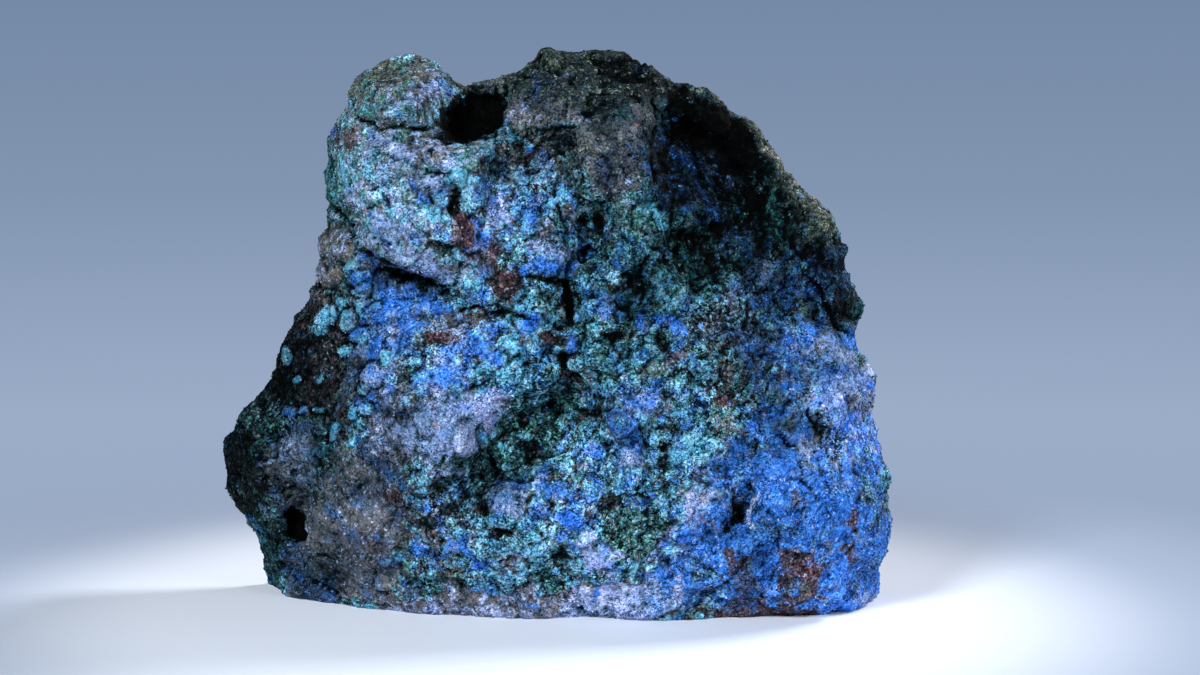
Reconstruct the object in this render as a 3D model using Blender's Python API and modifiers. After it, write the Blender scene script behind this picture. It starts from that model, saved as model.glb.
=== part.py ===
"""Mineral specimen: one block of massive quartz whose broken face carries a blue and green copper silicate crust.

Run with: blender --background --python part.py

The block grew as one piece, so it is one closed solid. It stands on a flat cut base, with its face towards -Y,
its width along X and its height along Z. Sizes below are millimetres; the mesh is made in metres.
"""

import math

import bmesh
import bpy
from mathutils import Matrix, Vector, noise

# Driving dimensions, in millimetres
BACK_DEPTH = 24.0  # how far the back stands behind the block's middle plane
LEAST_THICKNESS = 14.0  # the thinnest that the block gets inside its rim, at its left toe
RIM_THICKNESS = 3.0  # and at the very rim
BLANK_GRAIN = 2.0  # spacing of the points of the flat blank
BLOCK_GRAIN = 1.6  # spacing of the points of the shaped block
TRIANGLES = 10500  # what the block is thinned to before its foot is cut off, which leaves about 9,800
BACK_ROUGHNESS = 0.75  # how rough the back is, as a share of the front's roughness
EDGE_WIDTH = 11.0  # band along the outline over which the faces curve back
EDGE_DROP = 8.0  # how far the front curves back there
BACK_EDGE_DROP = 5.0  # and how far the back does
RIM_ROUND = 2.4  # how far the broken rim itself is rounded in
BASE_BELOW = 9.0  # the blank runs this far below the cut base
SLAB_HALF = 12.0  # half thickness of the flat blank that is shaped

WELD = 0.02  # points of the blank closer than this are one point
CUT_SNAP = 0.01  # points this close to the base's plane are cut on it

MM = 0.001
NOISE_SEED = Vector((13.7, 4.2, 8.9))

# Outline of the block seen from the front, clockwise from its left foot: (x, z)
OUTLINE = (
    (-60.5, -BASE_BELOW), (-60.5, 2.0), (-59.6, 6.5), (-62.0, 12.0), (-66.2, 18.0), (-69.6, 24.6),
    (-68.4, 30.5), (-63.8, 35.2), (-60.8, 40.4), (-56.5, 44.6), (-54.4, 50.2), (-49.8, 55.8),
    (-47.8, 62.2), (-45.8, 67.0), (-46.6, 71.0), (-42.4, 76.2), (-44.2, 82.0), (-43.6, 92.2),
    (-39.4, 97.8), (-37.2, 102.6), (-33.0, 106.8), (-28.6, 107.9), (-23.4, 106.2), (-19.0, 103.8),
    (-13.0, 103.6), (-7.8, 104.2), (-3.0, 106.2), (-0.6, 109.0), (6.0, 107.8), (16.5, 107.2),
    (21.0, 104.3), (28.5, 101.4), (35.8, 96.1), (41.1, 90.8), (46.3, 85.4), (50.0, 79.8),
    (55.2, 74.4), (58.2, 69.0), (58.8, 64.0), (61.4, 57.5), (59.4, 53.2), (62.8, 47.4),
    (64.8, 43.3), (62.6, 39.0), (63.8, 32.0), (65.2, 24.5), (66.6, 17.0), (66.0, 10.0),
    (63.3, 7.0), (63.8, 3.0), (62.0, -BASE_BELOW),
)  # fmt: skip

# Big broken faces of the front, each a plane: a point on it (x, z), its depth towards the front there,
# and how that depth grows per millimetre along X and along Z
FRONT_FACES = {
    "centre": (5.0, 45.0, 19.0, 0.00, -0.03),
    "upper": (0.0, 75.0, 16.0, 0.02, -0.18),
    "crown": (8.0, 99.0, 10.5, 0.00, -0.75),
    "foot": (10.0, 0.0, 12.6, 0.10, 0.45),
    "left_slope": (-30.0, 50.0, 14.5, 0.42, -0.05),
    "left_foot": (-36.0, 0.0, 2.5, 0.55, 0.34),
    "toe": (-54.0, 20.0, -2.0, 0.70, 0.10),
    "right_shoulder": (22.0, 84.0, 12.0, -0.46, -0.30),
    "right_foot": (45.0, 0.0, 9.5, -0.25, 0.42),
}
BACK_FACES = {
    "middle": (0.0, 45.0, 0.0, 0.06, -0.03),
    "upper": (0.0, 70.0, -2.5, 0.03, -0.30),
    "crown": (10.0, 98.0, -11.0, -0.10, -0.75),
    "left": (-35.0, 40.0, -1.0, 0.16, -0.14),
    "right": (38.0, 45.0, -3.0, -0.40, -0.10),
    "right_shoulder": (40.0, 78.0, -7.5, -0.42, -0.32),
    "foot": (0.0, 10.0, -3.0, 0.02, 0.24),
}
FACE_BLEND = 1.4  # how softly one face turns into the next
WANDER = 1.6  # how far the borders of masses and hollows stray from true ellipses
WANDER_PITCH = 0.11  # how many such bends there are per millimetre

# Masses that stand proud of those faces: (x, z, half width, half height, tilt in degrees, height)
MASSES = {
    "head": (-28.5, 85.5, 17.0, 23.0, -14.0, 6.0),
    "head_cap": (-29.0, 100.0, 9.5, 7.0, -10.0, 3.0),
    "head_chin": (-24.0, 73.0, 9.5, 7.5, -22.0, 3.0),
    "collar": (-16.0, 88.0, 6.5, 4.5, -10.0, 3.5),
    "lilac_pillar": (-22.0, 36.5, 9.5, 7.5, -20.0, 2.8),
    "lilac_knob": (-16.4, 35.2, 3.0, 4.3, 10.0, 2.4),
    "belly": (7.0, 20.0, 21.0, 12.0, 8.0, 3.0),
    "belly_top": (19.0, 47.0, 13.0, 9.0, 25.0, 2.4),
    "upper_shelf": (-3.0, 69.0, 9.0, 8.0, -10.0, 2.4),
    "upper_plate": (12.0, 90.0, 8.5, 9.0, 0.0, 2.6),
    "blue_boss": (47.0, 19.0, 17.5, 18.0, 0.0, 3.6),
    "right_flank": (50.0, 45.0, 9.5, 12.0, 25.0, 2.6),
    "right_block": (54.0, 63.0, 5.0, 8.0, 10.0, 2.5),
    "left_brow": (-41.5, 70.0, 5.0, 6.0, 0.0, 3.0),
    "toe_lobe": (-60.0, 31.0, 6.0, 7.5, 20.0, 3.5),
    "dome_blue": (13.2, 38.2, 3.2, 3.0, 0.0, 3.0),
    "dome_grey": (-8.3, 24.3, 3.4, 4.6, 0.0, 3.0),
    "dome_mid": (6.5, 33.0, 4.0, 3.4, 0.0, 2.0),
    "dome_right": (14.8, 32.0, 4.2, 3.6, 0.0, 2.0),
    "nodule_high": (-35.2, 65.8, 2.8, 4.0, -25.0, 2.2),
    "nodule_low": (-37.4, 57.8, 2.6, 4.2, 10.0, 2.0),
    "nodule_pair": (-33.0, 47.5, 3.8, 3.4, 0.0, 1.8),
}

# Hollows sunk into the front: (x, z, half width, half height, tilt in degrees, depth)
HOLLOWS = {
    "notch": (-15.5, 96.2, 6.6, 5.4, 12.0, 14.5),
    "basin": (-4.5, 36.5, 11.5, 7.0, 28.0, 7.5),
    "basin_tail": (-16.0, 26.2, 8.0, 3.0, 35.0, 4.5),
    "basin_head": (5.0, 42.5, 7.5, 3.4, 12.0, 3.5),
    "left_hole": (-50.0, 18.0, 3.2, 5.0, -12.0, 9.0),
    "chin_recess": (-25.5, 63.5, 8.0, 2.6, -21.0, 5.5),
    "neck": (-37.5, 73.5, 2.4, 5.0, 30.0, 3.5),
    "crevice": (3.2, 61.5, 1.9, 6.5, 4.0, 5.0),
    "crevice_foot": (2.0, 50.0, 3.4, 3.2, -20.0, 2.5),
    "upper_pocket": (7.0, 74.5, 4.4, 6.0, -12.0, 4.5),
    "middle_pocket": (13.5, 64.0, 5.5, 3.0, 14.0, 4.0),
    "green_pocket": (29.5, 67.0, 4.5, 4.0, 0.0, 3.0),
    "shadow_shelf": (27.0, 73.0, 7.0, 2.6, 12.0, 3.2),
    "rim_groove_high": (26.5, 93.5, 8.5, 4.6, -38.0, 5.5),
    "rim_groove_low": (35.0, 85.0, 10.0, 5.0, -50.0, 6.5),
    "boss_cleft": (35.0, 21.5, 1.7, 6.0, -14.0, 4.0),
    "foot_pocket": (1.3, 13.0, 2.2, 3.2, 0.0, 4.0),
    "brown_bay": (0.0, 87.0, 7.0, 4.5, 0.0, 2.0),
    "rust_bay_high": (-42.0, 54.5, 6.0, 2.8, 18.0, 2.6),
    "rust_bay_low": (-44.5, 45.0, 6.5, 4.0, -10.0, 2.6),
    "toe_fold": (-55.0, 36.0, 3.4, 6.0, 22.0, 3.5),
    "block_joint": (51.0, 59.5, 1.6, 6.0, 32.0, 2.6),
    "flank_dent": (50.5, 36.5, 2.6, 3.6, 0.0, 2.2),
    "green_cove": (20.0, 14.5, 4.0, 5.5, 30.0, 2.2),
}

# Ledges broken into the front: the line of the step from (x, z) to (x, z), with its low side on the right hand,
# how far the low side drops, and over what distance the surface comes back up
LEDGES = {
    "cap_seam": (-37.5, 95.6, -21.5, 93.6, 2.6, 7.0),
    "brow_seam": (-33.5, 81.5, -24.0, 85.5, 1.6, 5.0),
    "temple_seam": (-22.5, 79.0, -22.5, 90.0, 1.4, 5.0),
    "chin": (-37.5, 71.5, -18.0, 63.5, 3.6, 9.0),
    "plate_side": (18.9, 80.5, 18.6, 100.0, 4.0, 15.0),
    "plate_foot": (3.5, 80.8, 19.5, 80.3, 2.4, 7.0),
    "plate_left": (3.6, 98.0, 4.2, 80.0, 1.8, 6.0),
    "shelf_foot": (-8.0, 63.8, 6.0, 66.0, 3.0, 7.0),
    "middle_seam": (-23.0, 60.4, -5.0, 59.4, 1.6, 5.0),
    "right_shelf": (18.0, 70.5, 33.0, 76.0, 2.8, 7.0),
    "block_seam": (42.5, 69.0, 54.5, 54.5, 2.2, 8.0),
    "slab_seam": (-25.7, 41.0, -25.3, 28.0, 1.7, 5.5),
    "slab_foot": (-33.5, 29.5, -18.0, 28.0, 1.8, 6.0),
    "left_facet": (-46.0, 42.5, -25.5, 21.0, 1.9, 11.0),
    "foot_crust": (-31.0, 8.8, 12.0, 6.5, 1.8, 7.5),
    "boss_side": (38.5, 31.0, 36.5, 14.0, 2.6, 7.0),
    "flank_seam": (40.0, 34.5, 58.0, 37.5, 1.8, 6.0),
    "basin_wall": (-14.0, 37.5, -1.0, 45.5, 2.4, 6.0),
    "rust_seam": (-51.0, 50.5, -37.0, 52.5, 2.0, 6.0),
}
LEDGE_FADE = 0.12  # the ends of a ledge run out over this share of its length

# Knuckles of the rough rim that closes the right shoulder: (x, z, radius, depth of its front)
RIM_KNUCKLES = (
    (19.5, 102.0, 4.6, 4.5), (25.5, 99.8, 4.2, 3.6), (31.5, 96.8, 4.4, 3.0), (37.3, 92.0, 4.6, 3.4),
    (42.0, 87.0, 5.2, 4.4), (46.5, 81.0, 5.6, 5.4), (50.5, 75.0, 5.2, 6.0), (53.5, 68.5, 4.6, 6.6),
)  # fmt: skip

# The same for the back: masses that stand proud, hollows and ledges
BACK_MASSES = {
    "ridge": (-6.0, 52.0, 17.0, 36.0, 24.0, 1.6),
    "spur": (30.0, 34.0, 17.0, 22.0, -32.0, 1.4),
    "toe": (-60.0, 24.0, 16.0, 18.0, 0.0, 4.5),
    "cap": (-29.0, 90.0, 11.0, 13.0, 0.0, 2.0),
}
BACK_HOLLOWS = {
    "scoop": (10.0, 55.0, 8.0, 15.0, -20.0, 2.4),
    "gully": (-17.5, 98.0, 4.0, 11.0, 12.0, 3.0),
    "dent": (-34.0, 45.0, 8.0, 7.0, 30.0, 2.4),
    "undercut": (8.0, 7.0, 24.0, 4.5, 4.0, 1.8),
}
BACK_LEDGES = {
    "long_step": (14.0, 96.0, -8.0, 14.0, 3.2, 16.0),
    "shoulder_step": (52.0, 66.0, 12.0, 80.0, 2.6, 14.0),
    "left_step": (-38.0, 30.0, -20.0, 62.0, 2.8, 13.0),
    "slant_step": (-44.0, 58.0, -30.0, 84.0, 2.2, 10.0),
    "heel_step": (-48.0, 18.0, -4.0, 22.0, 2.6, 12.0),
    "right_step": (22.0, 10.0, 46.0, 50.0, 3.0, 13.0),
    "foot_step": (2.0, 16.0, 58.0, 13.0, 2.0, 9.0),
}

# Broken surface: (size, height) of its rounded lumps, then of its flat chips, which are longer than they are high
LUMPS = ((12.0, 1.1), (5.0, 0.6))
CHIPS = ((14.0, 1.5), (6.5, 0.7))
CHIP_STRETCH = Vector((0.9, 0.9, 1.1))
CHIP_BEND = 0.3  # how far a chip's borders bend, as a share of its size
CHIP_TILT = 1.6  # how steeply the chips tilt
CELL_PITCH = 7.3  # spreads the chips' middles out, so that neighbours tilt their own ways


def clear_scene():
    for obj in list(bpy.data.objects):
        bpy.data.objects.remove(obj, do_unlink=True)


def blank_from_outline():
    """The outline as a flat slab standing upright, closed, with an even grain of quads."""
    curve = bpy.data.curves.new("outline", "CURVE")
    curve.dimensions = "2D"
    curve.fill_mode = "BOTH"
    curve.extrude = SLAB_HALF * MM
    spline = curve.splines.new("POLY")
    spline.points.add(len(OUTLINE) - 1)
    for point, (x, z) in zip(spline.points, OUTLINE):
        point.co = (x * MM, z * MM, 0.0, 1.0)
    spline.use_cyclic_u = True
    outline = bpy.data.objects.new("outline", curve)
    outline.matrix_world = Matrix.Rotation(math.radians(90.0), 4, "X")
    bpy.context.scene.collection.objects.link(outline)
    bpy.context.view_layer.update()

    depsgraph = bpy.context.evaluated_depsgraph_get()
    mesh = bpy.data.meshes.new_from_object(outline.evaluated_get(depsgraph))
    mesh.transform(outline.matrix_world)
    bpy.data.objects.remove(outline)
    closed = bmesh.new()
    closed.from_mesh(mesh)
    bmesh.ops.remove_doubles(closed, verts=closed.verts, dist=WELD * MM)
    closed.to_mesh(mesh)
    closed.free()

    block = bpy.data.objects.new("specimen", mesh)
    bpy.context.scene.collection.objects.link(block)
    return block


def apply_modifiers(block):
    """Replaces the block's mesh by what its modifiers make of it."""
    depsgraph = bpy.context.evaluated_depsgraph_get()
    mesh = bpy.data.meshes.new_from_object(block.evaluated_get(depsgraph))
    block.modifiers.clear()
    block.data = mesh


def remesh(block, size):
    grain = block.modifiers.new("grain", "REMESH")
    grain.mode = "VOXEL"
    grain.voxel_size = size * MM
    apply_modifiers(block)


def inset_of(x, z):
    """How far a point lies inside the outline, and the outline's outward direction nearest to it."""
    nearest = Vector((x, z))
    best = None
    for i, start in enumerate(OUTLINE):
        a = Vector(start)
        run = Vector(OUTLINE[(i + 1) % len(OUTLINE)]) - a
        share = max(0.0, min(1.0, (nearest - a).dot(run) / run.length_squared))
        away = nearest - (a + run * share)
        if best is None or away.length < best[0]:
            outward = Vector((-run.y, run.x)).normalized()
            best = (away.length, outward)
    return best


def drift(point):
    """A smooth field of small shifts, each part of it between -1 and 1."""
    return Vector([noise.noise(point + NOISE_SEED * turn) for turn in (1.0, 2.0, 3.0)])


def softest_of(depths, blend):
    """The smallest of several depths, rounded over where two of them meet."""
    least = min(depths)
    total = sum(math.exp((least - depth) / blend) for depth in depths)
    return least - blend * math.log(total)


def plane_depth(face, x, z):
    face_x, face_z, depth, along_x, along_z = face
    return depth + along_x * (x - face_x) + along_z * (z - face_z)


def spread(shape, x, z):
    """How far (x, z) lies from an ellipse's middle, 1 on its edge."""
    mid_x, mid_z, half_x, half_z, tilt = shape[:5]
    turn = math.radians(tilt)
    dx, dz = x - mid_x, z - mid_z
    along = dx * math.cos(turn) + dz * math.sin(turn)
    across = dz * math.cos(turn) - dx * math.sin(turn)
    return math.hypot(along / half_x, across / half_z)


def dome(reach):
    """A round rise with a steep foot: 1 at the middle, 0 from the edge out."""
    return math.sqrt(max(0.0, 1.0 - reach**3))


def bowl(reach):
    """A hollow with a soft lip: 1 at the middle, 0 well outside the edge."""
    return 1.0 / (1.0 + reach**6)


def edge_round(inset):
    """The quarter round by which a face turns down along the rim: 1 at the rim, 0 from the edge band inwards."""
    share = max(0.0, 1.0 - inset / EDGE_WIDTH)
    return 1.0 - math.sqrt(1.0 - share**2)


def ledge_drop(ledge, x, z):
    """How far a ledge lowers a point: all of its drop at the foot of the step, less and less away from it."""
    start, end = Vector(ledge[0:2]), Vector(ledge[2:4])
    drop, width = ledge[4:]
    run = end - start
    place = Vector((x, z)) - start
    along = place.dot(run) / run.length_squared
    away = (place.x * run.y - place.y * run.x) / run.length
    if not (0.0 < along < 1.0 and 0.0 < away < width):
        return 0.0
    fade = min(1.0, along / LEDGE_FADE, (1.0 - along) / LEDGE_FADE)
    return drop * fade * (1.0 - away / width)


def relief(faces, masses, hollows, ledges, x, z):
    """Depth of one side of the block: its broken faces, with masses, hollows and ledges on them."""
    wander = drift(Vector((x, 0.0, z)) * WANDER_PITCH) * WANDER
    x, z = x + wander.x, z + wander.z
    depth = softest_of([plane_depth(face, x, z) for face in faces.values()], FACE_BLEND)
    depth += sum(mass[5] * dome(spread(mass, x, z)) for mass in masses.values())
    depth -= sum(hollow[5] * bowl(spread(hollow, x, z)) for hollow in hollows.values())
    depth -= sum(ledge_drop(ledge, x, z) for ledge in ledges.values())
    return depth


def knuckle_depth(x, z):
    """Depth of the ball-like knuckles along the right rim."""
    depth = -BACK_DEPTH
    for middle_x, middle_z, radius, front in RIM_KNUCKLES:
        reach = math.hypot(x - middle_x, z - middle_z) / radius
        if reach < 1.0:
            depth = max(depth, front - radius + radius * math.sqrt(1.0 - reach**2))
    return depth


def shape_block(block):
    """Pushes the flat blank's two faces out to the front and back of the rock."""
    for vertex in block.data.vertices:
        x, y, z = vertex.co / MM
        inset, outward = inset_of(x, z)
        side = max(-1.0, min(1.0, y / SLAB_HALF))
        front = relief(FRONT_FACES, MASSES, HOLLOWS, LEDGES, x, z) - EDGE_DROP * edge_round(inset)
        front = max(front, knuckle_depth(x, z))
        back = BACK_DEPTH + relief(BACK_FACES, BACK_MASSES, BACK_HOLLOWS, BACK_LEDGES, x, z)
        back -= BACK_EDGE_DROP * edge_round(inset)
        least = LEAST_THICKNESS + (RIM_THICKNESS - LEAST_THICKNESS) * edge_round(inset)
        back = max(back, least - front)
        pinch = RIM_ROUND * side**2 * max(0.0, 1.0 - inset / EDGE_WIDTH)
        depth = -front + (back + front) * (side + 1.0) / 2.0
        vertex.co = Vector((x - outward.x * pinch, depth, z - outward.y * pinch)) * MM


def chip_height(point, size):
    """Height of a surface broken into flat chips: each cell of a Voronoi pattern is tilted its own way."""
    bent = point + drift(point / size) * size * CHIP_BEND
    place = bent * CHIP_STRETCH / size + NOISE_SEED
    middle = noise.voronoi(place)[1][0]
    tilt = noise.cell_vector(middle * CELL_PITCH) - Vector((0.5, 0.5, 0.5))
    return CHIP_TILT * tilt.dot(place - middle)


def roughen(block):
    """Breaks the smooth form up into lumps and flat chips."""
    block.data.update()
    moved = []
    for vertex in block.data.vertices:
        point = vertex.co / MM
        rise = sum(height * noise.noise(point / size + NOISE_SEED) for size, height in LUMPS)
        rise += sum(height * chip_height(point, size) for size, height in CHIPS)
        backward = max(0.0, min(1.0, 0.5 + vertex.normal.y))
        rise *= 1.0 + (BACK_ROUGHNESS - 1.0) * backward
        moved.append(vertex.co + vertex.normal * rise * MM)
    for vertex, place in zip(block.data.vertices, moved):
        vertex.co = place


def thin_out(block):
    """Brings the mesh down to the triangles that its form needs."""
    block.data.calc_loop_triangles()
    thinner = block.modifiers.new("thinner", "DECIMATE")
    thinner.ratio = TRIANGLES / len(block.data.loop_triangles)
    apply_modifiers(block)


def cut_base(block):
    """Cuts the block off flat at z = 0 and closes the cut."""
    cut = bmesh.new()
    cut.from_mesh(block.data)
    everything = cut.verts[:] + cut.edges[:] + cut.faces[:]
    result = bmesh.ops.bisect_plane(
        cut, geom=everything, dist=CUT_SNAP * MM, plane_co=(0, 0, 0), plane_no=(0, 0, 1), clear_inner=True
    )
    rim = [part for part in result["geom_cut"] if isinstance(part, bmesh.types.BMEdge)]
    for edge in rim:
        for corner in edge.verts:
            corner.co.z = 0.0
    bmesh.ops.contextual_create(cut, geom=rim)
    bmesh.ops.recalc_face_normals(cut, faces=cut.faces)
    cut.to_mesh(block.data)
    cut.free()


def centre_on_base(block):
    """Moves the block so that the origin is the middle of its box's bottom face."""
    xs = [vertex.co.x for vertex in block.data.vertices]
    ys = [vertex.co.y for vertex in block.data.vertices]
    middle = Vector(((min(xs) + max(xs)) / 2.0, (min(ys) + max(ys)) / 2.0, 0.0))
    block.data.transform(Matrix.Translation(-middle))


def crust_material():
    """Blue crust over quartz, as one average stone finish."""
    material = bpy.data.materials.new("blue_crusted_quartz")
    material.use_nodes = True
    shader = material.node_tree.nodes["Principled BSDF"]
    shader.inputs["Base Color"].default_value = (0.09, 0.19, 0.36, 1.0)
    shader.inputs["Roughness"].default_value = 0.7
    shader.inputs["Metallic"].default_value = 0.0
    return material


def main():
    clear_scene()
    block = blank_from_outline()
    remesh(block, BLANK_GRAIN)
    shape_block(block)
    remesh(block, BLOCK_GRAIN)
    roughen(block)
    thin_out(block)
    cut_base(block)
    centre_on_base(block)
    block.data.materials.append(crust_material())
    collection = bpy.data.collections.new("mineral_specimen")
    bpy.context.scene.collection.children.link(collection)
    bpy.context.scene.collection.objects.unlink(block)
    collection.objects.link(block)


main()
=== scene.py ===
"""Dresses the blue-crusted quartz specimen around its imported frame.

One rock body with its fine relief and mineral crust, and four coats of small
crystals that are grown into it. All lengths in the tables are millimetres.
"""

import math

import bmesh
import bpy
import numpy as np
from bpy.props import FloatProperty, FloatVectorProperty, IntProperty, PointerProperty
from bpy.types import Operator, Panel, PropertyGroup
from mathutils import Matrix, Vector


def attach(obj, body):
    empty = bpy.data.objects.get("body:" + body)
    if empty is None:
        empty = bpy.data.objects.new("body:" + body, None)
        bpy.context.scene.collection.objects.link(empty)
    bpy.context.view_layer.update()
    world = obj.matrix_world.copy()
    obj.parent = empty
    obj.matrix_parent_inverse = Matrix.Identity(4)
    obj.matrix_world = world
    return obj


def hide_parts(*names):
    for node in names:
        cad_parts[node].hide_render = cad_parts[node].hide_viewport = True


bl_info = {
    "name": "Blue-crusted Quartz Specimen",
    "version": (1, 0, 0),
    "blender": (4, 5, 0),
    "location": "3D View > Sidebar > Specimen",
    "description": "Builds the crusted rock body, its crystal coats and the stage",
    "category": "Add Mesh",
}

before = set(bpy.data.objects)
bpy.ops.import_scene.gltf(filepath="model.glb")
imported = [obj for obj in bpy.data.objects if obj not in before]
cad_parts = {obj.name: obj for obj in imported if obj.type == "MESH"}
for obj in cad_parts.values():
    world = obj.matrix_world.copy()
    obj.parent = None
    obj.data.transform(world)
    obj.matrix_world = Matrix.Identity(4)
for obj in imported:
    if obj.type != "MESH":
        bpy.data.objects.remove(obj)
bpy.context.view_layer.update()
ROCK_NODE = "specimen"
MM = 0.001

# The face map: across and up, in mm, as the face is seen square-on from EYE,
# measured on an upright plane just in front of the rock. The camera stands at
# EYE too, and dips by EYE_DIP degrees.
EYE = (10.055, -451.115, 98.8)
EYE_DIP = 5.84
EYE_ACROSS = 9.0
FACE_PLANE = -16.815

# Where the rock faces forward by more than this, its mesh is twice as fine.
FINE_FACING = 0.30
# How far forward the rock faces where the front's crust starts and is full.
FRONT_FACING = (-0.42, -0.02)
# Near the base, up to this height, only this share of the relief is raised.
BASE_BAND, BASE_RELIEF = 0.4, 0.15
# No crystals grow on the cut base, which is everything below this height.
CUT_BASE = 0.1
# How fully lumps and pebbles are covered with their own kind of crust.
LUMP_COVER, PEBBLE_COVER = 0.75, 0.95
# Least and most shade: less than nothing is paler.
SHADES = (-0.30, 0.97)
# How far crystals lean, how uneven they are, how far out of the rock their
# middles stand for their height, and the lowest that a point of one may be.
GRAIN_LEAN, GRAIN_UNEVEN, GRAIN_SEAT, GRAIN_LOWEST = 0.45, 0.35, 0.15, 0.02
# The higher it is, the fewer crystals come near the largest size.
GRAIN_MOSTLY_SMALL = 2.5

# Stage: the floor's sides, the soft lights (name, place and aim in metres,
# width, colour), the backdrop's colours from low to high, and the low fill.
FLOOR_SIDES = 96
LIGHTS = (
    ("key", (-.34, -.58, .42), (0, 0, .05), .20, (.90, .95, 1.0)),
    ("fill", (.50, -.46, .20), (.03, 0, .04), .25, (.86, .93, 1.0)),
    ("rim", (.56, .26, .50), (0, 0, .05), .22, (.93, .95, 1.0)),
)
BACKDROP = (
    (0.0, (.264, .344, .492)), (0.45, (.334, .418, .581)), (0.60, (.220, .298, .433)),
    (0.75, (.167, .242, .374)), (1.0, (.141, .205, .325)),
)
FILL_COLOUR = (.62, .74, 1.0)

COVERS = ("pale", "tan", "rust", "wash", "dark", "green", "cyan", "blue", "shade", "calm")

# How much of the surface each mineral covers in each kind of crust, and its painted
# shade: the shade share darkens it, and less than nothing makes it paler. The
# darkest kinds and the darker blue stand partly for painted shadow in holes and on
# faces turned from the light.
MIXES = {
    "mottled crust": dict(pale=.3, rust=.08, dark=.4, green=.58, cyan=.5, blue=.4),
    "cyan crust": dict(pale=.38, dark=.3, green=.52, cyan=.66, blue=.3),
    "blue-cyan crust": dict(pale=.42, rust=.08, dark=.28, green=.34, cyan=.5, blue=.5),
    "blue crust": dict(pale=.34, rust=.2, wash=.8, dark=.2, green=.16, cyan=.3, blue=.76, calm=.7),
    "clean blue": dict(pale=.16, wash=.6, dark=.06, cyan=.26, blue=.92, calm=.8),
    # Dark blue crust with painted shade, for faces turned from the light.
    "dark blue": dict(pale=.05, rust=.08, wash=.9, dark=.5, green=.4, cyan=.24, blue=.42,
                      shade=.3),
    "slate blue": dict(pale=.26, rust=.16, wash=.8, dark=.38, green=.3, cyan=.32, blue=.42,
                       shade=.08),
    "pale blue": dict(pale=.6, wash=.5, dark=.15, green=.1, cyan=.4, blue=.6, calm=.4),
    "lavender blue": dict(pale=.82, wash=.45, dark=.06, green=.05, cyan=.22, blue=.38, calm=.7),
    "pebble": dict(pale=.62, wash=.4, dark=.02, green=.2, cyan=.62, blue=.1, calm=.8),
    "blue pebble": dict(pale=.46, wash=.8, dark=.03, green=.08, cyan=.44, blue=.5, calm=.8),
    "teal knob": dict(pale=.1, wash=1.0, dark=.04, green=.1, cyan=.2, blue=.6, calm=.9),
    "clear cyan": dict(pale=.36, dark=.08, green=.36, cyan=.84, blue=.14, calm=.6),
    "pale crust": dict(pale=.5, tan=.44, dark=.12, green=.4, cyan=.34, blue=.16, calm=.8),
    "cream speckle": dict(pale=.4, tan=.9, rust=.14, dark=.44, green=.5, cyan=.36, shade=-.55),
    "pale grit": dict(pale=.34, tan=.62, dark=.18, green=.46, cyan=.18, blue=.07, calm=.6),
    "lavender quartz": dict(pale=.84, wash=.2, dark=.06, green=.06, cyan=.18, blue=.22, calm=.8),
    "white quartz": dict(pale=1.0, dark=.03, blue=.05, calm=.7),
    "mauve quartz": dict(pale=.46, tan=.14, rust=.1, wash=.2, dark=.1, cyan=.16, blue=.14),
    "smooth grey": dict(pale=.36, tan=.42, dark=.06, green=.14, cyan=.08),
    "smooth quartz": dict(pale=.2, tan=.1, rust=.05, wash=.14, dark=.08, green=.06, cyan=.06,
                          blue=.06, calm=.6),
    "grey quartz": dict(pale=.2, tan=.44, wash=.1, dark=.22, green=.2, cyan=.08, blue=.06),
    "stained quartz": dict(pale=.12, wash=1.0, dark=.12, green=.1, cyan=.12, blue=.3),
    "lilac strip": dict(pale=.4, tan=.12, wash=.15, dark=.08, green=.03, cyan=.08, blue=.1),
    "green grit": dict(pale=.16, tan=.12, dark=.46, green=.7, cyan=.26, blue=.08),
    "deep green": dict(pale=.12, wash=.5, dark=.5, green=.7, cyan=.34, blue=.14, shade=.05),
    "teal crust": dict(pale=.2, wash=.3, dark=.42, green=.64, cyan=.44, blue=.24),
    "rust": dict(pale=.08, rust=.88, dark=.34, cyan=.1, blue=.1),
    "blue rust": dict(pale=.24, rust=.7, wash=.4, dark=.26, cyan=.14, blue=.36),
    "rusty dark": dict(tan=.18, rust=.6, dark=.52, green=.28, cyan=.24, blue=.16, shade=.06),
    "dark rind": dict(tan=.58, rust=.14, dark=.4, green=.18, blue=.05, shade=.14, calm=.7),
    "olive rind": dict(pale=.18, tan=.86, dark=.42, green=.26),
    "speckled crust": dict(pale=.44, tan=.22, rust=.24, dark=.44, green=.38, cyan=.4, blue=.34),
    "brown speckle": dict(pale=.42, tan=.4, rust=.36, dark=.5, green=.34, cyan=.36, blue=.24),
    # Painted shadow in deep holes: the darkest mineral under near full shade.
    "black": dict(dark=1.0, shade=.92),
    # Dark crust with painted shade, for crevices and faces in shadow.
    "near black": dict(rust=.1, dark=.78, green=.36, cyan=.12, blue=.12, shade=.36),
    "back rind": dict(pale=.1, tan=.62, rust=.12, dark=.24, green=.06),
}

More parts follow.
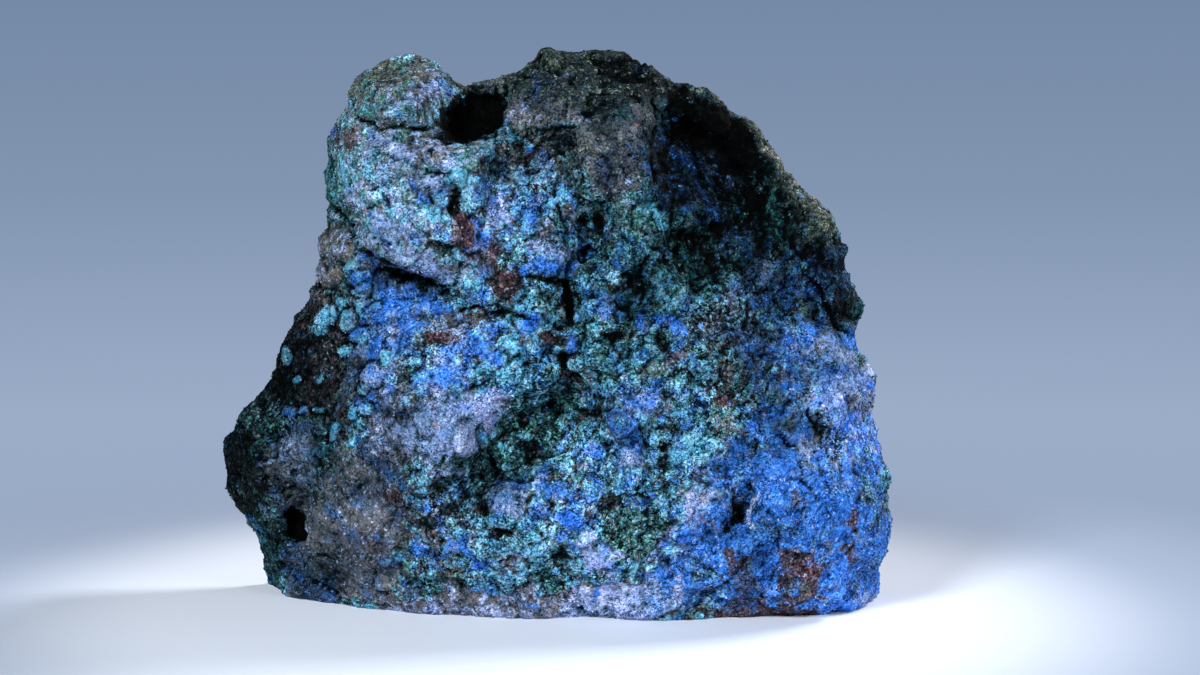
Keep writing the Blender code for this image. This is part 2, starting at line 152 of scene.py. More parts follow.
# Soft-edged fields of crust: kind, across, up, half width, half height,
# turn in degrees (anticlockwise), strength. Later ones lie over earlier ones.
FIELDS = (
    # head and neck
    ("pale crust", -28, 84, 17, 23, 0, 1), ("pale grit", -29, 100, 10, 8, 0, .85),
    ("green grit", -43, 85, 4, 15, 4, .7), ("cyan crust", -37, 86, 4.5, 5, 0, .3),
    ("cyan crust", -22, 77, 6, 6, 0, .25), ("lavender blue", -28, 73, 5, 5, 0, .45),
    ("lavender quartz", -25, 67.4, 6.5, 1.8, -14, .9), ("blue-cyan crust", -14, 72, 4, 9, 0, .6),
    ("cyan crust", -18, 98, 3, 6, 35, .5), ("pale blue", -14, 73, 7, 6, 0, .6),
    ("clear cyan", -20.5, 73.5, 3.6, 3.4, 0, .2), ("teal crust", -44, 33, 4.5, 4, 0, .5),
    # top and upper right
    ("teal crust", 10, 78, 24, 9, 0, .9), ("dark rind", 6, 104, 24, 6, 0, .95),
    ("grey quartz", 3, 101, 8, 3.5, 0, .7), ("grey quartz", -3, 97, 7, 4, 0, .8),
    ("grey quartz", 12, 90, 8.5, 9, 0, .95), ("rusty dark", -1, 91, 6, 3, 0, .85),
    ("rusty dark", -9, 87.5, 5, 4, 0, .7), ("blue-cyan crust", -6, 79, 10, 7, 0, .85),
    ("dark blue", 27, 83, 12, 13, 0, .95), ("near black", 32, 93, 12, 5, -42, .95),
    ("deep green", 41, 78, 8, 7, -30, .85), ("deep green", 36, 86, 5, 6, 0, .6),
    ("olive rind", 27.5, 98, 2.4, 2, -30, .6), ("dark rind", 38, 92.5, 9, 2, -48, .8),
    ("olive rind", 45.5, 82.5, 5.5, 3, -50, .9), ("olive rind", 50.5, 76, 4.5, 3, -58, .9),
    ("olive rind", 48, 72.5, 3, 2.4, 0, .8), ("dark blue", 53, 67, 6, 5, -15, .8),
    ("deep green", 55.5, 60, 4, 7, 5, .9), ("slate blue", 44, 64, 12, 6, -12, .85),
    ("deep green", 28.5, 67, 5.5, 5, 0, .85), ("teal crust", 20, 65, 6, 5, 0, .6),
    ("dark blue", 36, 71, 6, 4.5, 0, .9), ("deep green", 25, 74, 6, 3, 0, .7),
    # left slope and toe
    ("rusty dark", -46, 50, 14, 13, 42, .95), ("near black", -51, 44, 8, 4, 45, .8),
    ("near black", -58, 34, 8, 11, 0, .9), ("deep green", -53, 38, 6, 5, 30, .8),
    ("pale blue", -33, 52, 6, 12, 0, .75), ("clean blue", -27, 59, 5, 5, 0, .6),
    ("mauve quartz", -29, 45, 4, 6, 0, .5),
    # grey quartz, lower left
    ("smooth quartz", -40, 18, 13.5, 16, 0, 1), ("mauve quartz", -49, 31, 6, 5, 0, .8),
    ("teal crust", -43, 33, 3.5, 5, 10, .6), ("mauve quartz", -28.5, 36, 5.5, 5, 10, .85),
    ("lavender quartz", -21, 37, 5.5, 7, 0, .85), ("deep green", -54, 12, 3.5, 10, -8, .8),
    # middle
    ("blue-cyan crust", -18, 53, 13, 8, 0, .8), ("pale blue", -20, 48, 5, 4, 0, .8),
    ("mauve quartz", -20, 56, 5, 2.6, 10, .6), ("cyan crust", -8, 47, 7, 5, 10, .85),
    ("lavender quartz", -14, 41, 5.5, 3.4, 15, .9), ("deep green", -3.5, 36.5, 8, 6, 35, .95),
    ("deep green", -13, 29.5, 4.5, 3.5, 20, .9), ("deep green", 3, 43, 4.5, 4.5, 0, .7),
    ("speckled crust", -20, 20, 7, 10, 0, .85), ("cyan crust", -5, 14, 11, 7, 0, .6),
    ("green grit", 17, 18, 6.5, 6, 0, .85), ("mottled crust", 12, 30, 13, 10, 0, .7),
    ("blue-cyan crust", 3, 22, 7, 6, 0, .6), ("blue-cyan crust", 15, 42, 8, 4, 0, .6),
    ("teal crust", 8, 53, 5, 6, 0, .5),
    # foot
    ("lilac strip", -12, 2.6, 19, 3.6, 0, .95), ("white quartz", 14, 4, 9, 3.4, 4, .9),
    ("pale blue", 23, 10, 6, 9, -20, .7), ("lavender quartz", 26.5, 21.5, 3.6, 6, -12, .9),
    # right
    ("brown speckle", 33, 56, 6.5, 6, 0, .85), ("slate blue", 40, 51, 7, 9, 0, .8),
    ("brown speckle", 32.5, 46, 3.5, 6, 0, .6), ("cream speckle", 32.8, 39.5, 2.6, 4.6, 0, .8),
    ("clear cyan", 25.5, 33, 6, 3.6, 0, .6), ("blue crust", 46, 16, 19, 18, 0, 1),
    ("blue crust", 41, 32, 9, 8, 0, .8), ("pale blue", 50, 50, 7, 11, 0, .85),
    ("lavender blue", 55.5, 45, 5.5, 10, 15, .95), ("pale blue", 56, 36, 6, 7, 0, .7),
    ("pale blue", 61, 14, 4, 14, 0, .6), ("dark blue", 43, 18, 5.5, 4.5, 0, .35),
)

# Broad ovals of painted shade over the crust, which in places also darken its own
# colour: across, up, half width, half height, turn and how dark the painted shade is
# (less than nothing for painted light, where a rim, edge or knob catches the light).
PAINTED_SHADE_OVALS = (
    (30, 88, 11, 13, 0, .7), (33, 94, 13, 5, -42, .88), (36, 86, 6, 5, -40, .5),
    (5, 103, 24, 6, 0, .56), (-2, 90, 8, 5, 0, .28), (11, 91, 8, 9, 0, .28),
    (8, 73, 20, 7, 0, .22), (27, 76, 10, 6, 0, .36), (36, 71, 7, 6, 0, .45),
    (44, 64, 12, 7, -20, .4), (-50, 48, 9, 16, 40, .54), (-36, 58, 5, 13, 0, .28),
    (-60, 30, 8, 14, 0, .46), (-54, 13, 5, 13, 0, .52), (-45, 9, 6, 6, -20, .2),
    (-12, 26, 5, 4, 20, .38), (38, 51, 8, 9, 0, .28), (55, 63, 6, 9, 0, .5),
    (-41, 17, 14, 15, 0, .32), (-35, 20, 6, 8, 0, -.16), (43, 76, 8, 8, -40, .44),
    (26, 68, 10, 6, 0, .38), (17, 63, 6, 5, 0, .34), (-42, 82, 3, 14, 4, .24),
    (6, 57, 9, 10, 0, .18), (20, 56, 4, 4, 0, .22), (9.4, 40.6, 3.4, 2.6, 30, .34),
    (13.2, 37.2, 2.6, 1.8, -10, .22), (-15.4, 95.3, 5.6, 4.5, 18, .85), (37, 16, 5, 8, 0, .28),
    (36, 33, 4, 4, 0, .3), (-27, 40, 4, 5, 0, .26), (-4, 31, 6, 4, 0, .24),
    (-12, 74, 11, 7, 0, -.2), (-20, 49, 6, 5, 0, -.22), (-12, 41, 4, 3, 0, -.2),
    (54, 40, 6, 9, 0, -.24), (4, 32, 5, 4, 0, -.34), (4, 22, 5, 6, 0, -.12),
    (53, 8, 5, 5, 0, -.22), (28, 9, 4, 4, 0, -.14), (8, 13, 13, 8, 0, -.16),
    (27, 24, 4, 6, 0, -.14), (-14, 81, 5, 4, 0, -.14), (-28, 99, 8, 6, 0, .16),
    (-11, 88, 4, 4, 0, .28), (-50, 31, 7, 8, 0, .3), (-43, 27, 7, 6, 0, .22),
    (-34, 31, 6, 5, 0, .2), (-28, 88, 5, 5, 0, .18), (-28, 72, 6, 5, 0, .2),
    (-20, 80, 4, 5, 0, .24), (-20, 64, 4, 4, 0, .22), (20, 83, 6, 6, 0, .24),
    (20, 97, 5, 5, 0, .28), (12, 104, 7, 4, 0, .34), (-45, 10, 5, 6, 0, .26),
    (-28, 24, 4, 5, 0, .2), (12, 97, 6, 4, 0, .26), (-19.8, 97.4, 1.2, 4.6, -40, -.35),
    (34, 90, 7, 6, -40, .4), (36, 32, 5, 5, 0, .14), (46, 80, 5, 6, -50, .16),
    (44, 38, 5, 7, 0, .26), (52, 48, 5, 5, 0, .28), (12, 64, 5, 5, 0, .26),
    (-20, 37, 5, 6, 0, .14), (-4, 72, 5, 5, 0, -.3), (-12, 56, 4, 3, 0, -.12),
    (11.4, 66.4, 2.2, 1.2, 8, -.8), (20, 73, 4, 4, 0, -.18), (60, 33, 4, 6, 0, -.22),
    (-52, 40, 4, 4, 0, -.2), (-20, 72, 4, 4, 0, -.1), (12, 24, 4, 4, 0, -.14),
    (-11, 39, 3, 4, 0, -.1), (31.5, 98.6, 6.5, 1.8, -34, -.72), (40, 90.6, 6.5, 2, -50, -.75),
    (46, 83, 5, 1.8, -50, -.3), (51.6, 76, 5, 1.6, -62, -.3), (29.5, 87.5, 1.8, 3.4, 0, -.14),
    (37.6, 21.4, .8, 3.2, -18, -.45),
)

# Small placed patches, in the same terms, painted after the fields.
PATCHES = (
    # head and neck
    ("dark rind", -31, 103, 2.6, 1.6, 0, .8), ("dark rind", -24, 104, 2.4, 2.2, 0, .8),
    ("dark rind", -38, 102, 2.2, 3.6, 30, .5), ("stained quartz", -34.5, 103.6, 1.8, .5, 20, .6),
    ("mauve quartz", -24, 99.5, 3, 2.4, 0, .5), ("lavender blue", -20.5, 101, 1.6, 3.4, 35, .6),
    ("clean blue", -41.2, 92, .6, 1, 0, .6), ("clean blue", -30.8, 95.2, .7, .5, 0, .6),
    ("rust", -38, 91.4, 2.4, 2, 20, .45), ("mauve quartz", -25, 89, 2.2, 2.2, 0, .7),
    ("white quartz", -30.5, 90.2, 2.4, 1.1, -20, .8),
    ("stained quartz", -24, 84.8, 1.6, .5, 0, .8), ("smooth grey", -22, 89.5, 3.2, 2.2, -30, .6),
    ("clear cyan", -16.4, 80.5, 1.2, 3, 15, .8), ("near black", -18.3, 79.4, 1.4, 2.4, 0, .9),
    ("rust", -17.6, 77.4, 1.9, 1.6, -30, .8), ("rust", -15.9, 73.6, 1.9, 3.4, 25, .95),
    ("near black", -19.4, 71.4, 2.6, 1.3, -15, .7), ("clear cyan", -18.6, 69.3, 1.7, 1.2, 0, .7),
    ("mauve quartz", -17.6, 67, 2.4, 1.6, 0, .6), ("rust", -10.8, 69, 1.6, 2.6, 15, .9),
    ("rust", -9, 65.2, 2.6, 2.6, -20, .9), ("grey quartz", -27.6, 72.4, .9, 2.8, 5, .6),
    ("clean blue", -33.8, 68.4, .8, 3.2, 40, .6), ("dark blue", -32.4, 68.6, 1.4, 3, 50, .7),
    ("dark blue", -25.8, 65.4, 6.4, 1.2, -14, .95),
    # top
    ("smooth grey", -12.2, 101, 3.4, 1.2, -8, .8), ("black", -15.4, 95.2, 5.4, 4.3, 18, 1),
    ("black", -11.5, 96.5, 2.8, 3.6, 0, 1), ("near black", 13, 105, 5, .9, -3, .7),
    ("stained quartz", 16, 103.8, 1, 1.8, -20, .6), ("grey quartz", 4.4, 96.3, 2.4, 1, 0, .8),
    ("grey quartz", 16.6, 96.6, 2, 2.6, 0, .75), ("stained quartz", -2.6, 100.6, .7, 1.7, 0, .8),
    ("smooth grey", 2, 103.4, 2.6, 1.6, 0, .7), ("mauve quartz", -6, 96.4, 2.8, 2.6, 0, .5),
    ("lavender quartz", -1.2, 95.4, 2, 2.2, 0, .45), ("mauve quartz", 6.6, 95.2, 1.9, 1.4, 0, .8),
    ("teal crust", 12, 96.4, 2.6, 1.6, -20, .5), ("clean blue", -4.5, 89.6, 1.1, .9, 0, .9),
    ("rust", -5.4, 86.9, 1.9, .9, 0, .9), ("lavender blue", -2, 87.4, 1.6, 1.7, 0, .8),
    ("olive rind", 18.2, 89, .6, 4.6, 2, .7), ("slate blue", 9.6, 86.5, 1.6, 3.4, 10, .5),
    # upper right
    ("clean blue", 22.9, 94.6, .8, 1.3, 0, .8), ("clean blue", 26.1, 87.6, 1.3, .9, 20, .8),
    ("mauve quartz", 29.6, 88, 1.8, 3.6, 0, .6), ("smooth grey", 23.2, 91.2, 1, 1.4, 0, .5),
    ("mauve quartz", 33, 84.2, 1.4, 2, 0, .4), ("teal crust", 27.8, 97.4, 2, 1.2, -30, .7),
    ("clear cyan", 45.3, 84.6, 2.2, .4, -55, .7), ("teal crust", 42.2, 79.4, 2.2, 2, 0, .8),
    ("green grit", 43.5, 75.8, 3, 2.2, 0, .7), ("smooth grey", 47.6, 77.6, 1.8, 1.6, 0, .5),
    ("black", 30.6, 75, 1.6, 1.2, 0, .7), ("near black", 25, 71.8, 4, .9, -12, .6),
    ("green grit", 17.3, 76.6, 2, 4, -18, .7), ("clear cyan", 19.6, 77.4, .7, 4.2, 32, .9),
    ("mauve quartz", 40.6, 66, 1.9, 1.4, 0, .7), ("mauve quartz", 33.6, 62.4, 1.6, 1.8, 0, .6),
    ("lavender blue", 49.6, 64.6, 3, 1.1, -30, .6), ("lavender blue", 55.2, 65.4, 1.2, 1.4, 0, .6),
    ("pale grit", 46.2, 60, 2.6, 1.9, -25, .8), ("near black", 52.8, 58.8, 1.4, 3.4, -25, .8),
    # basin
    ("pale blue", -.8, 69.6, 4.8, 3.6, -8, .9), ("lavender quartz", -.8, 71.2, 2.6, 1.3, 0, 1),
    ("lavender quartz", 3.2, 70, 1.6, 1.3, 0, .7), ("clean blue", 0, 67.2, 3.8, 1.2, -8, .8),
    ("smooth grey", -1, 74.6, 1.5, 2.6, 5, .7), ("smooth grey", 3, 78, 1.4, 1.5, 0, .7),
    ("dark blue", 6, 73, 1.7, 4, 0, .9), ("near black", 8.8, 75.4, .8, 2.2, 8, .8),
    ("dark blue", 11.4, 73.6, 1, 2.4, -8, .8), ("pale crust", 13.4, 79, 3.2, 3.2, 0, .6),
    ("near black", 14.2, 64.2, 3.2, 1.4, 10, .4), ("lavender quartz", -10, 78, 1.8, 2, 0, .6),
    ("smooth grey", 14, 83.4, 2.2, 1.2, 0, .6), ("near black", 0, 65, 4.2, .7, -8, .5),
    # middle
    ("rust", .4, 54.6, 2.2, .8, -25, .8), ("near black", 2.3, 50.4, .8, 2.2, 5, .85),
    ("rusty dark", 4.6, 47.2, 1.8, 1.4, -10, .9), ("black", 2.8, 61.5, .9, 4, 3, .8),
    ("rusty dark", 1.6, 59.4, 1, 2, 0, .7), ("clean blue", -14.5, 52, 2.6, 1.6, 15, .7),
    ("clean blue", -10.6, 50.8, 1.4, 1.2, 0, .7), ("clean blue", -18.4, 53, 1, 2, 0, .7),
    ("mauve quartz", -17, 56.4, 2.4, 1.3, 10, .7), ("rust", -21, 53.8, 2.8, 1.2, 12, .75),
    ("clean blue", -22.3, 60.8, 2, 1.9, 0, .7), ("rusty dark", -13, 58.6, 3.6, 1.4, -5, .7),
    ("near black", -10.8, 59, 1.6, .8, 0, .7), ("mauve quartz", -12, 42.6, 1.6, 1.2, 0, .6),
    ("rusty dark", -4, 31.6, 1.1, 2, -20, .8), ("near black", 8.4, 40.4, 3.4, .9, 35, .7),
    ("mauve quartz", 6.2, 30.6, 1.5, .8, 0, .8), ("mauve quartz", 22.2, 50.6, 2, 1.2, 10, .7),
    ("near black", 20.6, 53.4, 1.4, 1.8, 40, .45), ("near black", 12, 55, 3, 1.2, 0, .6),
    ("rusty dark", 32.2, 48.6, 1.4, 2.2, 0, .6), ("rusty dark", 36.4, 46.4, 1.2, 1.2, 0, .7),
    ("mauve quartz", 42.3, 46.6, 1, 1.9, 0, .6), ("rust", 33, 42.6, 1.7, .9, 0, .6),
    ("near black", 20.4, 31, .8, 3.8, 0, .45), ("near black", 22.2, 37.4, 1.5, 1, 0, .6),
    ("white quartz", 58.6, 48.6, 1.3, 1, 0, .85), ("clean blue", 61, 45.4, 1.7, 1.5, 0, .9),
    ("clean blue", 56.6, 53.4, 2.6, 1.5, -45, .8), ("white quartz", 48.2, 34.6, 1.2, 2.2, 0, .7),
    ("white quartz", 54.6, 49.4, .7, 2.6, -22, .6), ("rust", 50.6, 53, 1.2, 1.8, 0, .5),
    ("mauve quartz", 58.6, 41.8, 2.6, 1.8, 0, .6), ("white quartz", 50.8, 41, 1.6, .9, 10, .4),
    ("slate blue", 41, 38, 3.2, 3.2, 0, .5), ("olive rind", 36.4, 36.3, 1, .5, 0, .7),
    # left slope
    ("rust", -46, 49.5, 2.8, 1.6, 20, .5), ("rust", -44, 44.6, 3, 1.3, 15, .5),
    ("rust", -36.5, 50, 2.2, 1.6, 0, .5), ("black", -50.5, 46, 2.4, 1.6, 45, .6),
    ("black", -45.5, 53.4, 3.6, .9, 25, .6), ("rusty dark", -41, 38.5, 1.8, 2.6, -20, .8),
    ("mauve quartz", -47.5, 34.6, 3.2, 2.2, 0, .8),
    ("stained quartz", -46.5, 37.4, 2.6, 1.2, -25, .7),
    ("blue pebble", -44.2, 32.4, 1.6, 1.6, 0, .6), ("rusty dark", -28.6, 39.6, 1.6, 1.3, 0, .6),
    # grey quartz, lower left
    ("black", -48.4, 19, 1.7, 3.2, 14, 1), ("black", -50, 16.8, 1.3, 1, 0, .8),
    ("pale grit", -53, 20, 1.8, 1.8, 0, .8), ("stained quartz", -51.4, 23.4, 2.6, .8, -55, .8),
    ("stained quartz", -41, 21.2, 2.2, .7, -35, .8),
    ("stained quartz", -37.6, 17.2, 2.6, .8, -38, .6),
    ("stained quartz", -36.4, 24, 2.6, 1.4, -40, .4),
    ("stained quartz", -29.6, 21.4, 2.2, .9, -32, .9),
    ("stained quartz", -48, 12.6, 2.4, 3.2, 10, .7),
    ("stained quartz", -46, 7.8, 5.4, 2.8, -28, .75), ("smooth grey", -34.2, 13, 1.5, 1.8, 20, .8),
    ("stained quartz", -31, 12.4, 1.6, 1.8, 0, .6), ("rusty dark", -42, 10, 3.4, 1.2, -15, .4),
    ("smooth grey", -32, 7, 1.7, 1.8, 0, .7), ("stained quartz", -34.5, 6.6, .9, 1.8, 10, .6),
    ("stained quartz", -26, 6.6, 1.8, 1.2, 0, .4), ("rust", -28.8, 24, 1.9, 1, 0, .8),
    ("clean blue", -25, 22, 1, 1, 0, .9), ("near black", -19.4, 22.2, 2, .8, 30, .7),
    ("near black", -24, 19.2, 1.6, .9, 0, .7), ("rust", -23, 17.4, 1.2, .9, 0, .5),
    ("clean blue", -17.4, 15.2, 1.7, 1.2, 20, .7), ("clean blue", -25, 14.2, 1.5, 1, 0, .7),
    ("olive rind", -19, 9.2, 2.6, 1.6, 0, .5), ("rust", -25, 10, 1.1, .9, 0, .5),
    ("clean blue", -15, 12.4, 2.6, .7, -45, .7),
    # lower middle
    ("near black", -10, 17.2, 2.8, 1.2, 8, .7), ("near black", -13.2, 21.6, 1.4, 1.2, 0, .9),
    ("deep green", 1.6, 12.8, 1.8, 2.4, 0, .8), ("deep green", 0, 8.4, 2.8, 1.8, 0, .8),
    ("rusty dark", 12.2, 23, 2.4, 1.2, -10, .85), ("near black", -4.8, 23.4, .9, 1.4, 0, .7),
    ("clean blue", 17.6, 23, 1.6, 1.4, 0, .6), ("clean blue", 4.2, 20.4, 1.6, 1.4, 0, .6),
    ("mauve quartz", -4.6, 7, 1.7, 1.3, 0, .8), ("teal knob", -8, 26, 2.6, 1.6, 0, .6),
    ("olive rind", 7.6, 7.2, 1.6, 1, 0, .6), ("mauve quartz", -8, 12.2, 2.2, 1.8, 0, .5),
    ("smooth grey", 11.6, 3.8, 1.6, 1.5, 0, .5), ("rust", 29.6, 19, 2.2, .6, -40, .6),
    ("lavender quartz", 24.4, 8.4, 1.3, 5.2, -22, .8),
    # lower right
    ("near black", 34.8, 22.6, 1.9, 4.8, -18, .5), ("lavender blue", -22, 38, 3, 5, 0, .5),
    ("rust", 46.6, 11.6, 4.6, 2.6, -8, .95), ("rust", 48.6, 8.8, 2, 3.4, 5, .9),
    ("rust", 44.4, 8.6, 2.2, 2.6, 0, .8), ("rust", 44.5, 3.6, 5, 2.2, 0, .9),
    ("olive rind", 47.8, 6.6, 1.3, 2.2, 10, .7), ("rust", 34, 11.8, 2.2, 2.2, 0, .9),
    ("blue rust", 36, 6.4, 2.6, 5, 8, .95), ("rust", 41, 1.8, 11, 1.3, 0, .8),
    ("rusty dark", 46.3, 23.8, 1.1, 1.7, 30, .6), ("rust", 56.4, 13, 1.3, 2.4, 20, .8),
    ("teal crust", 61.4, 20, 1.6, 2.6, 0, .6), ("teal crust", 60, 25.4, 1.8, 2, 0, .6),
    ("lavender quartz", 58.4, 4.6, 2.6, 1.1, 15, .7), ("white quartz", 48, 33.6, 1, 2.4, 10, .7),
    ("brown speckle", 53.6, 33.6, 1.8, 2.2, 0, .6), ("dark blue", 50.4, 37, 2.6, 1.6, -30, .8),
    ("dark blue", 44.6, 38.2, 1.8, 2, 0, .5), ("lavender quartz", 54.8, 50.2, 1, 3.4, -22, .8),
    ("white quartz", 58.6, 48.6, 1.2, 1.1, 0, .8), ("clean blue", 57, 53, 1.3, 1.4, 0, .8),
    ("clean blue", 61.5, 45.2, .9, 1.6, 0, .8), ("lavender quartz", 60.6, 40.6, 1, 1.6, 0, .7),
    ("mauve quartz", 50.6, 53, 1.1, 1.9, 0, .6), ("teal crust", 57.5, 50, 1.3, 1.8, 20, .6),
    ("teal crust", 57.6, 42.6, 1.6, 1.6, 0, .5),
)

# Veins and streaks: kind, half width, strength, and the line they follow.
VEINS = (
    ("stained quartz", .8, .9, ((-35, 33), (-31, 29.6), (-27.5, 25.6))),
    ("teal crust", .6, .7, ((-43, 34), (-44.6, 28), (-46, 24))),
    ("stained quartz", .5, .9, ((-8, 6.6), (-4.5, 3.6), (-2, 1.5))),
    ("stained quartz", .7, .9, ((3.8, 4), (5.4, 2.2), (7.4, 1.4))),
    ("clean blue", .4, .7, ((10.4, 8), (8.6, 5.6), (7.2, 4.4))),
    ("dark blue", .6, .6, ((-36, 44), (-30, 40), (-24, 41))),
    ("clean blue", .5, .5, ((20, 91), (27, 84), (31, 77))),
    ("teal crust", .8, .6, ((-38, 95), (-41, 88), (-40, 80))),
    ("clean blue", .35, .6, ((-23.2, 91), (-23.5, 87.6))),
    ("clear cyan", .5, .8, ((-22.8, 93.6), (-21, 96.4), (-18.8, 99), (-16.4, 101.2))),
    ("clean blue", .4, .5, ((-26, 84.4), (-24, 81.6), (-21, 79))),
    ("clear cyan", .4, .45, ((-9.2, 98), (-9.2, 93.4), (-5.4, 92), (-4, 90.2))),
    ("teal crust", .4, .5, ((-4, 93), (0, 93.6), (4.4, 94.2))),
    ("clear cyan", .5, .7, ((9, 82.4), (10.2, 78), (10.6, 73))),
    ("clear cyan", .5, .6, ((15, 10.4), (19.6, 12), (22.8, 15.6), (23.8, 21))),
    ("dark blue", .5, .7, ((27, 13), (31, 9.6), (34, 6.6))),
    ("rust", .4, .8, ((54.6, 20.4), (56.4, 20.2), (57.2, 21.8), (56.4, 20.2), (56.2, 18.6))),
    ("white quartz", .35, .95, ((39.2, 24.8), (37.4, 22.6), (37.2, 20.6), (38.2, 18.2))),
    ("white quartz", .25, .9, ((36.6, 22.4), (37.8, 21.6), (36.8, 20.2))),
    ("olive rind", 2, .9, ((26, 100.5), (33, 97.6), (38, 92.8), (43.4, 86.8), (48, 80.8))),
)

# Clean pebbles that stand out: kind, across, up, half width, half height,
# turn, how far they stand out.
PEBBLES = (
    ("pebble", -42, 58.3, 1.6, 2.6, -30, .9), ("pebble", -38.2, 57.4, 1.5, 2.6, -10, 1),
    ("blue pebble", -35.8, 54.6, 2.9, 1.6, 12, .9), ("pebble", -39.6, 60.8, 1.1, 1.3, 0, .6),
    ("pebble", -36.3, 60.3, 1.1, 1.5, 0, .6), ("pebble", -35.6, 63.2, 2, 1.4, 10, .7),
    ("blue pebble", -32.8, 60.4, 1.2, 1, 0, .6), ("pebble", -38.9, 52, 1.6, 1, 15, .8),
    ("pebble", -43.4, 55.9, 1.6, .9, 20, .6), ("pebble", -49.9, 51, .9, 2, -5, .5),
    ("lavender blue", -33.6, 47.2, 2.3, 2.6, -20, .9), ("pebble", -31.2, 50.4, 1.3, 1.8, 0, .7),
    ("pebble", -35.3, 44.8, 1.1, 1.4, 20, .6), ("pebble", -47.7, 46.4, 1, .8, 0, .5),
    ("pebble", -43.6, 46.8, .8, .7, 0, .5), ("pebble", -43.7, 40.6, 1.2, .8, -10, .6),
    ("blue pebble", -46.4, 40.6, 1.1, .9, 0, .5), ("blue pebble", -48.9, 40.4, 1.4, 1.1, 0, .5),
    ("pebble", -25.4, 50, 1.5, 1.3, 0, .7), ("pebble", -34.8, 41, 1.6, 1.3, 0, .6),
    ("pebble", -37.3, 40.2, .9, 1.4, -20, .5), ("pebble", -41, 36.6, 1, 2.2, -15, .6),
    ("blue pebble", -35.5, 65.2, 2.3, 1.9, 20, .9), ("smooth grey", -40.3, 72, 3.6, 3.6, 0, .9),
    ("smooth grey", -42.2, 66.5, 3, 2.6, 0, .8), ("white quartz", -16.4, 35, 2.4, 3.4, 0, .6),
)

# Ragged knobs in the crust, in the same terms.
LUMPS = (
    ("teal knob", 12.9, 38, 2.8, 2.2, -10, 1.6), ("clean blue", -5, 56.7, 1.8, 1.8, 0, .9),
    ("clean blue", 3.8, 53.4, 1.2, 2.2, -10, .8), ("lavender blue", 10, 59.8, 1.7, 2.4, 0, 1),
    ("clear cyan", 11.6, 66.3, 2.1, 1.2, 8, .9), ("pebble", -8, 53, 2.5, 1.8, -8, .9),
    ("lavender blue", -8.3, 23.5, 3, 3.7, -10, 1.6), ("lavender blue", 6.4, 16.2, 2, 2.2, 0, .9),
    ("lavender quartz", 9.6, 12.6, 2.8, 2.8, -20, 1), ("pale blue", -2, 26.6, 1.8, 2.2, 0, .9),
    ("lavender blue", 18.5, 42.9, 3.5, 2.5, 10, .9), ("smooth grey", 22, 42, 1.4, 1.3, 0, .7),
    ("pale grit", 19.3, 48.6, 2.3, 1.8, 0, .8), ("clean blue", 23.3, 56.4, 1.4, 2.3, 25, .8),
    ("clean blue", 20, 57.8, 1.2, .9, 0, .7), ("lavender blue", 15, 32.3, 2.5, 2.3, 0, 1),
    ("pale blue", 8, 33, 2, 2.4, 0, .9), ("lavender blue", 0, 50.4, 1.1, 1.1, 0, .6),
    ("pale crust", -28.5, 96.6, 2.7, 2.3, 0, .8), ("clear cyan", -18, 83.8, 2.1, 1.7, 0, .9),
    ("pale crust", -12.4, 89.2, 2.8, 2.2, -20, .9),
    ("lavender quartz", -21.8, 83.4, 2.4, 2, -20, .7), ("teal knob", 17, 57, 1.3, 2, 0, .6),
    ("pale blue", 1, 25, 2.2, 2, 0, .8),
)

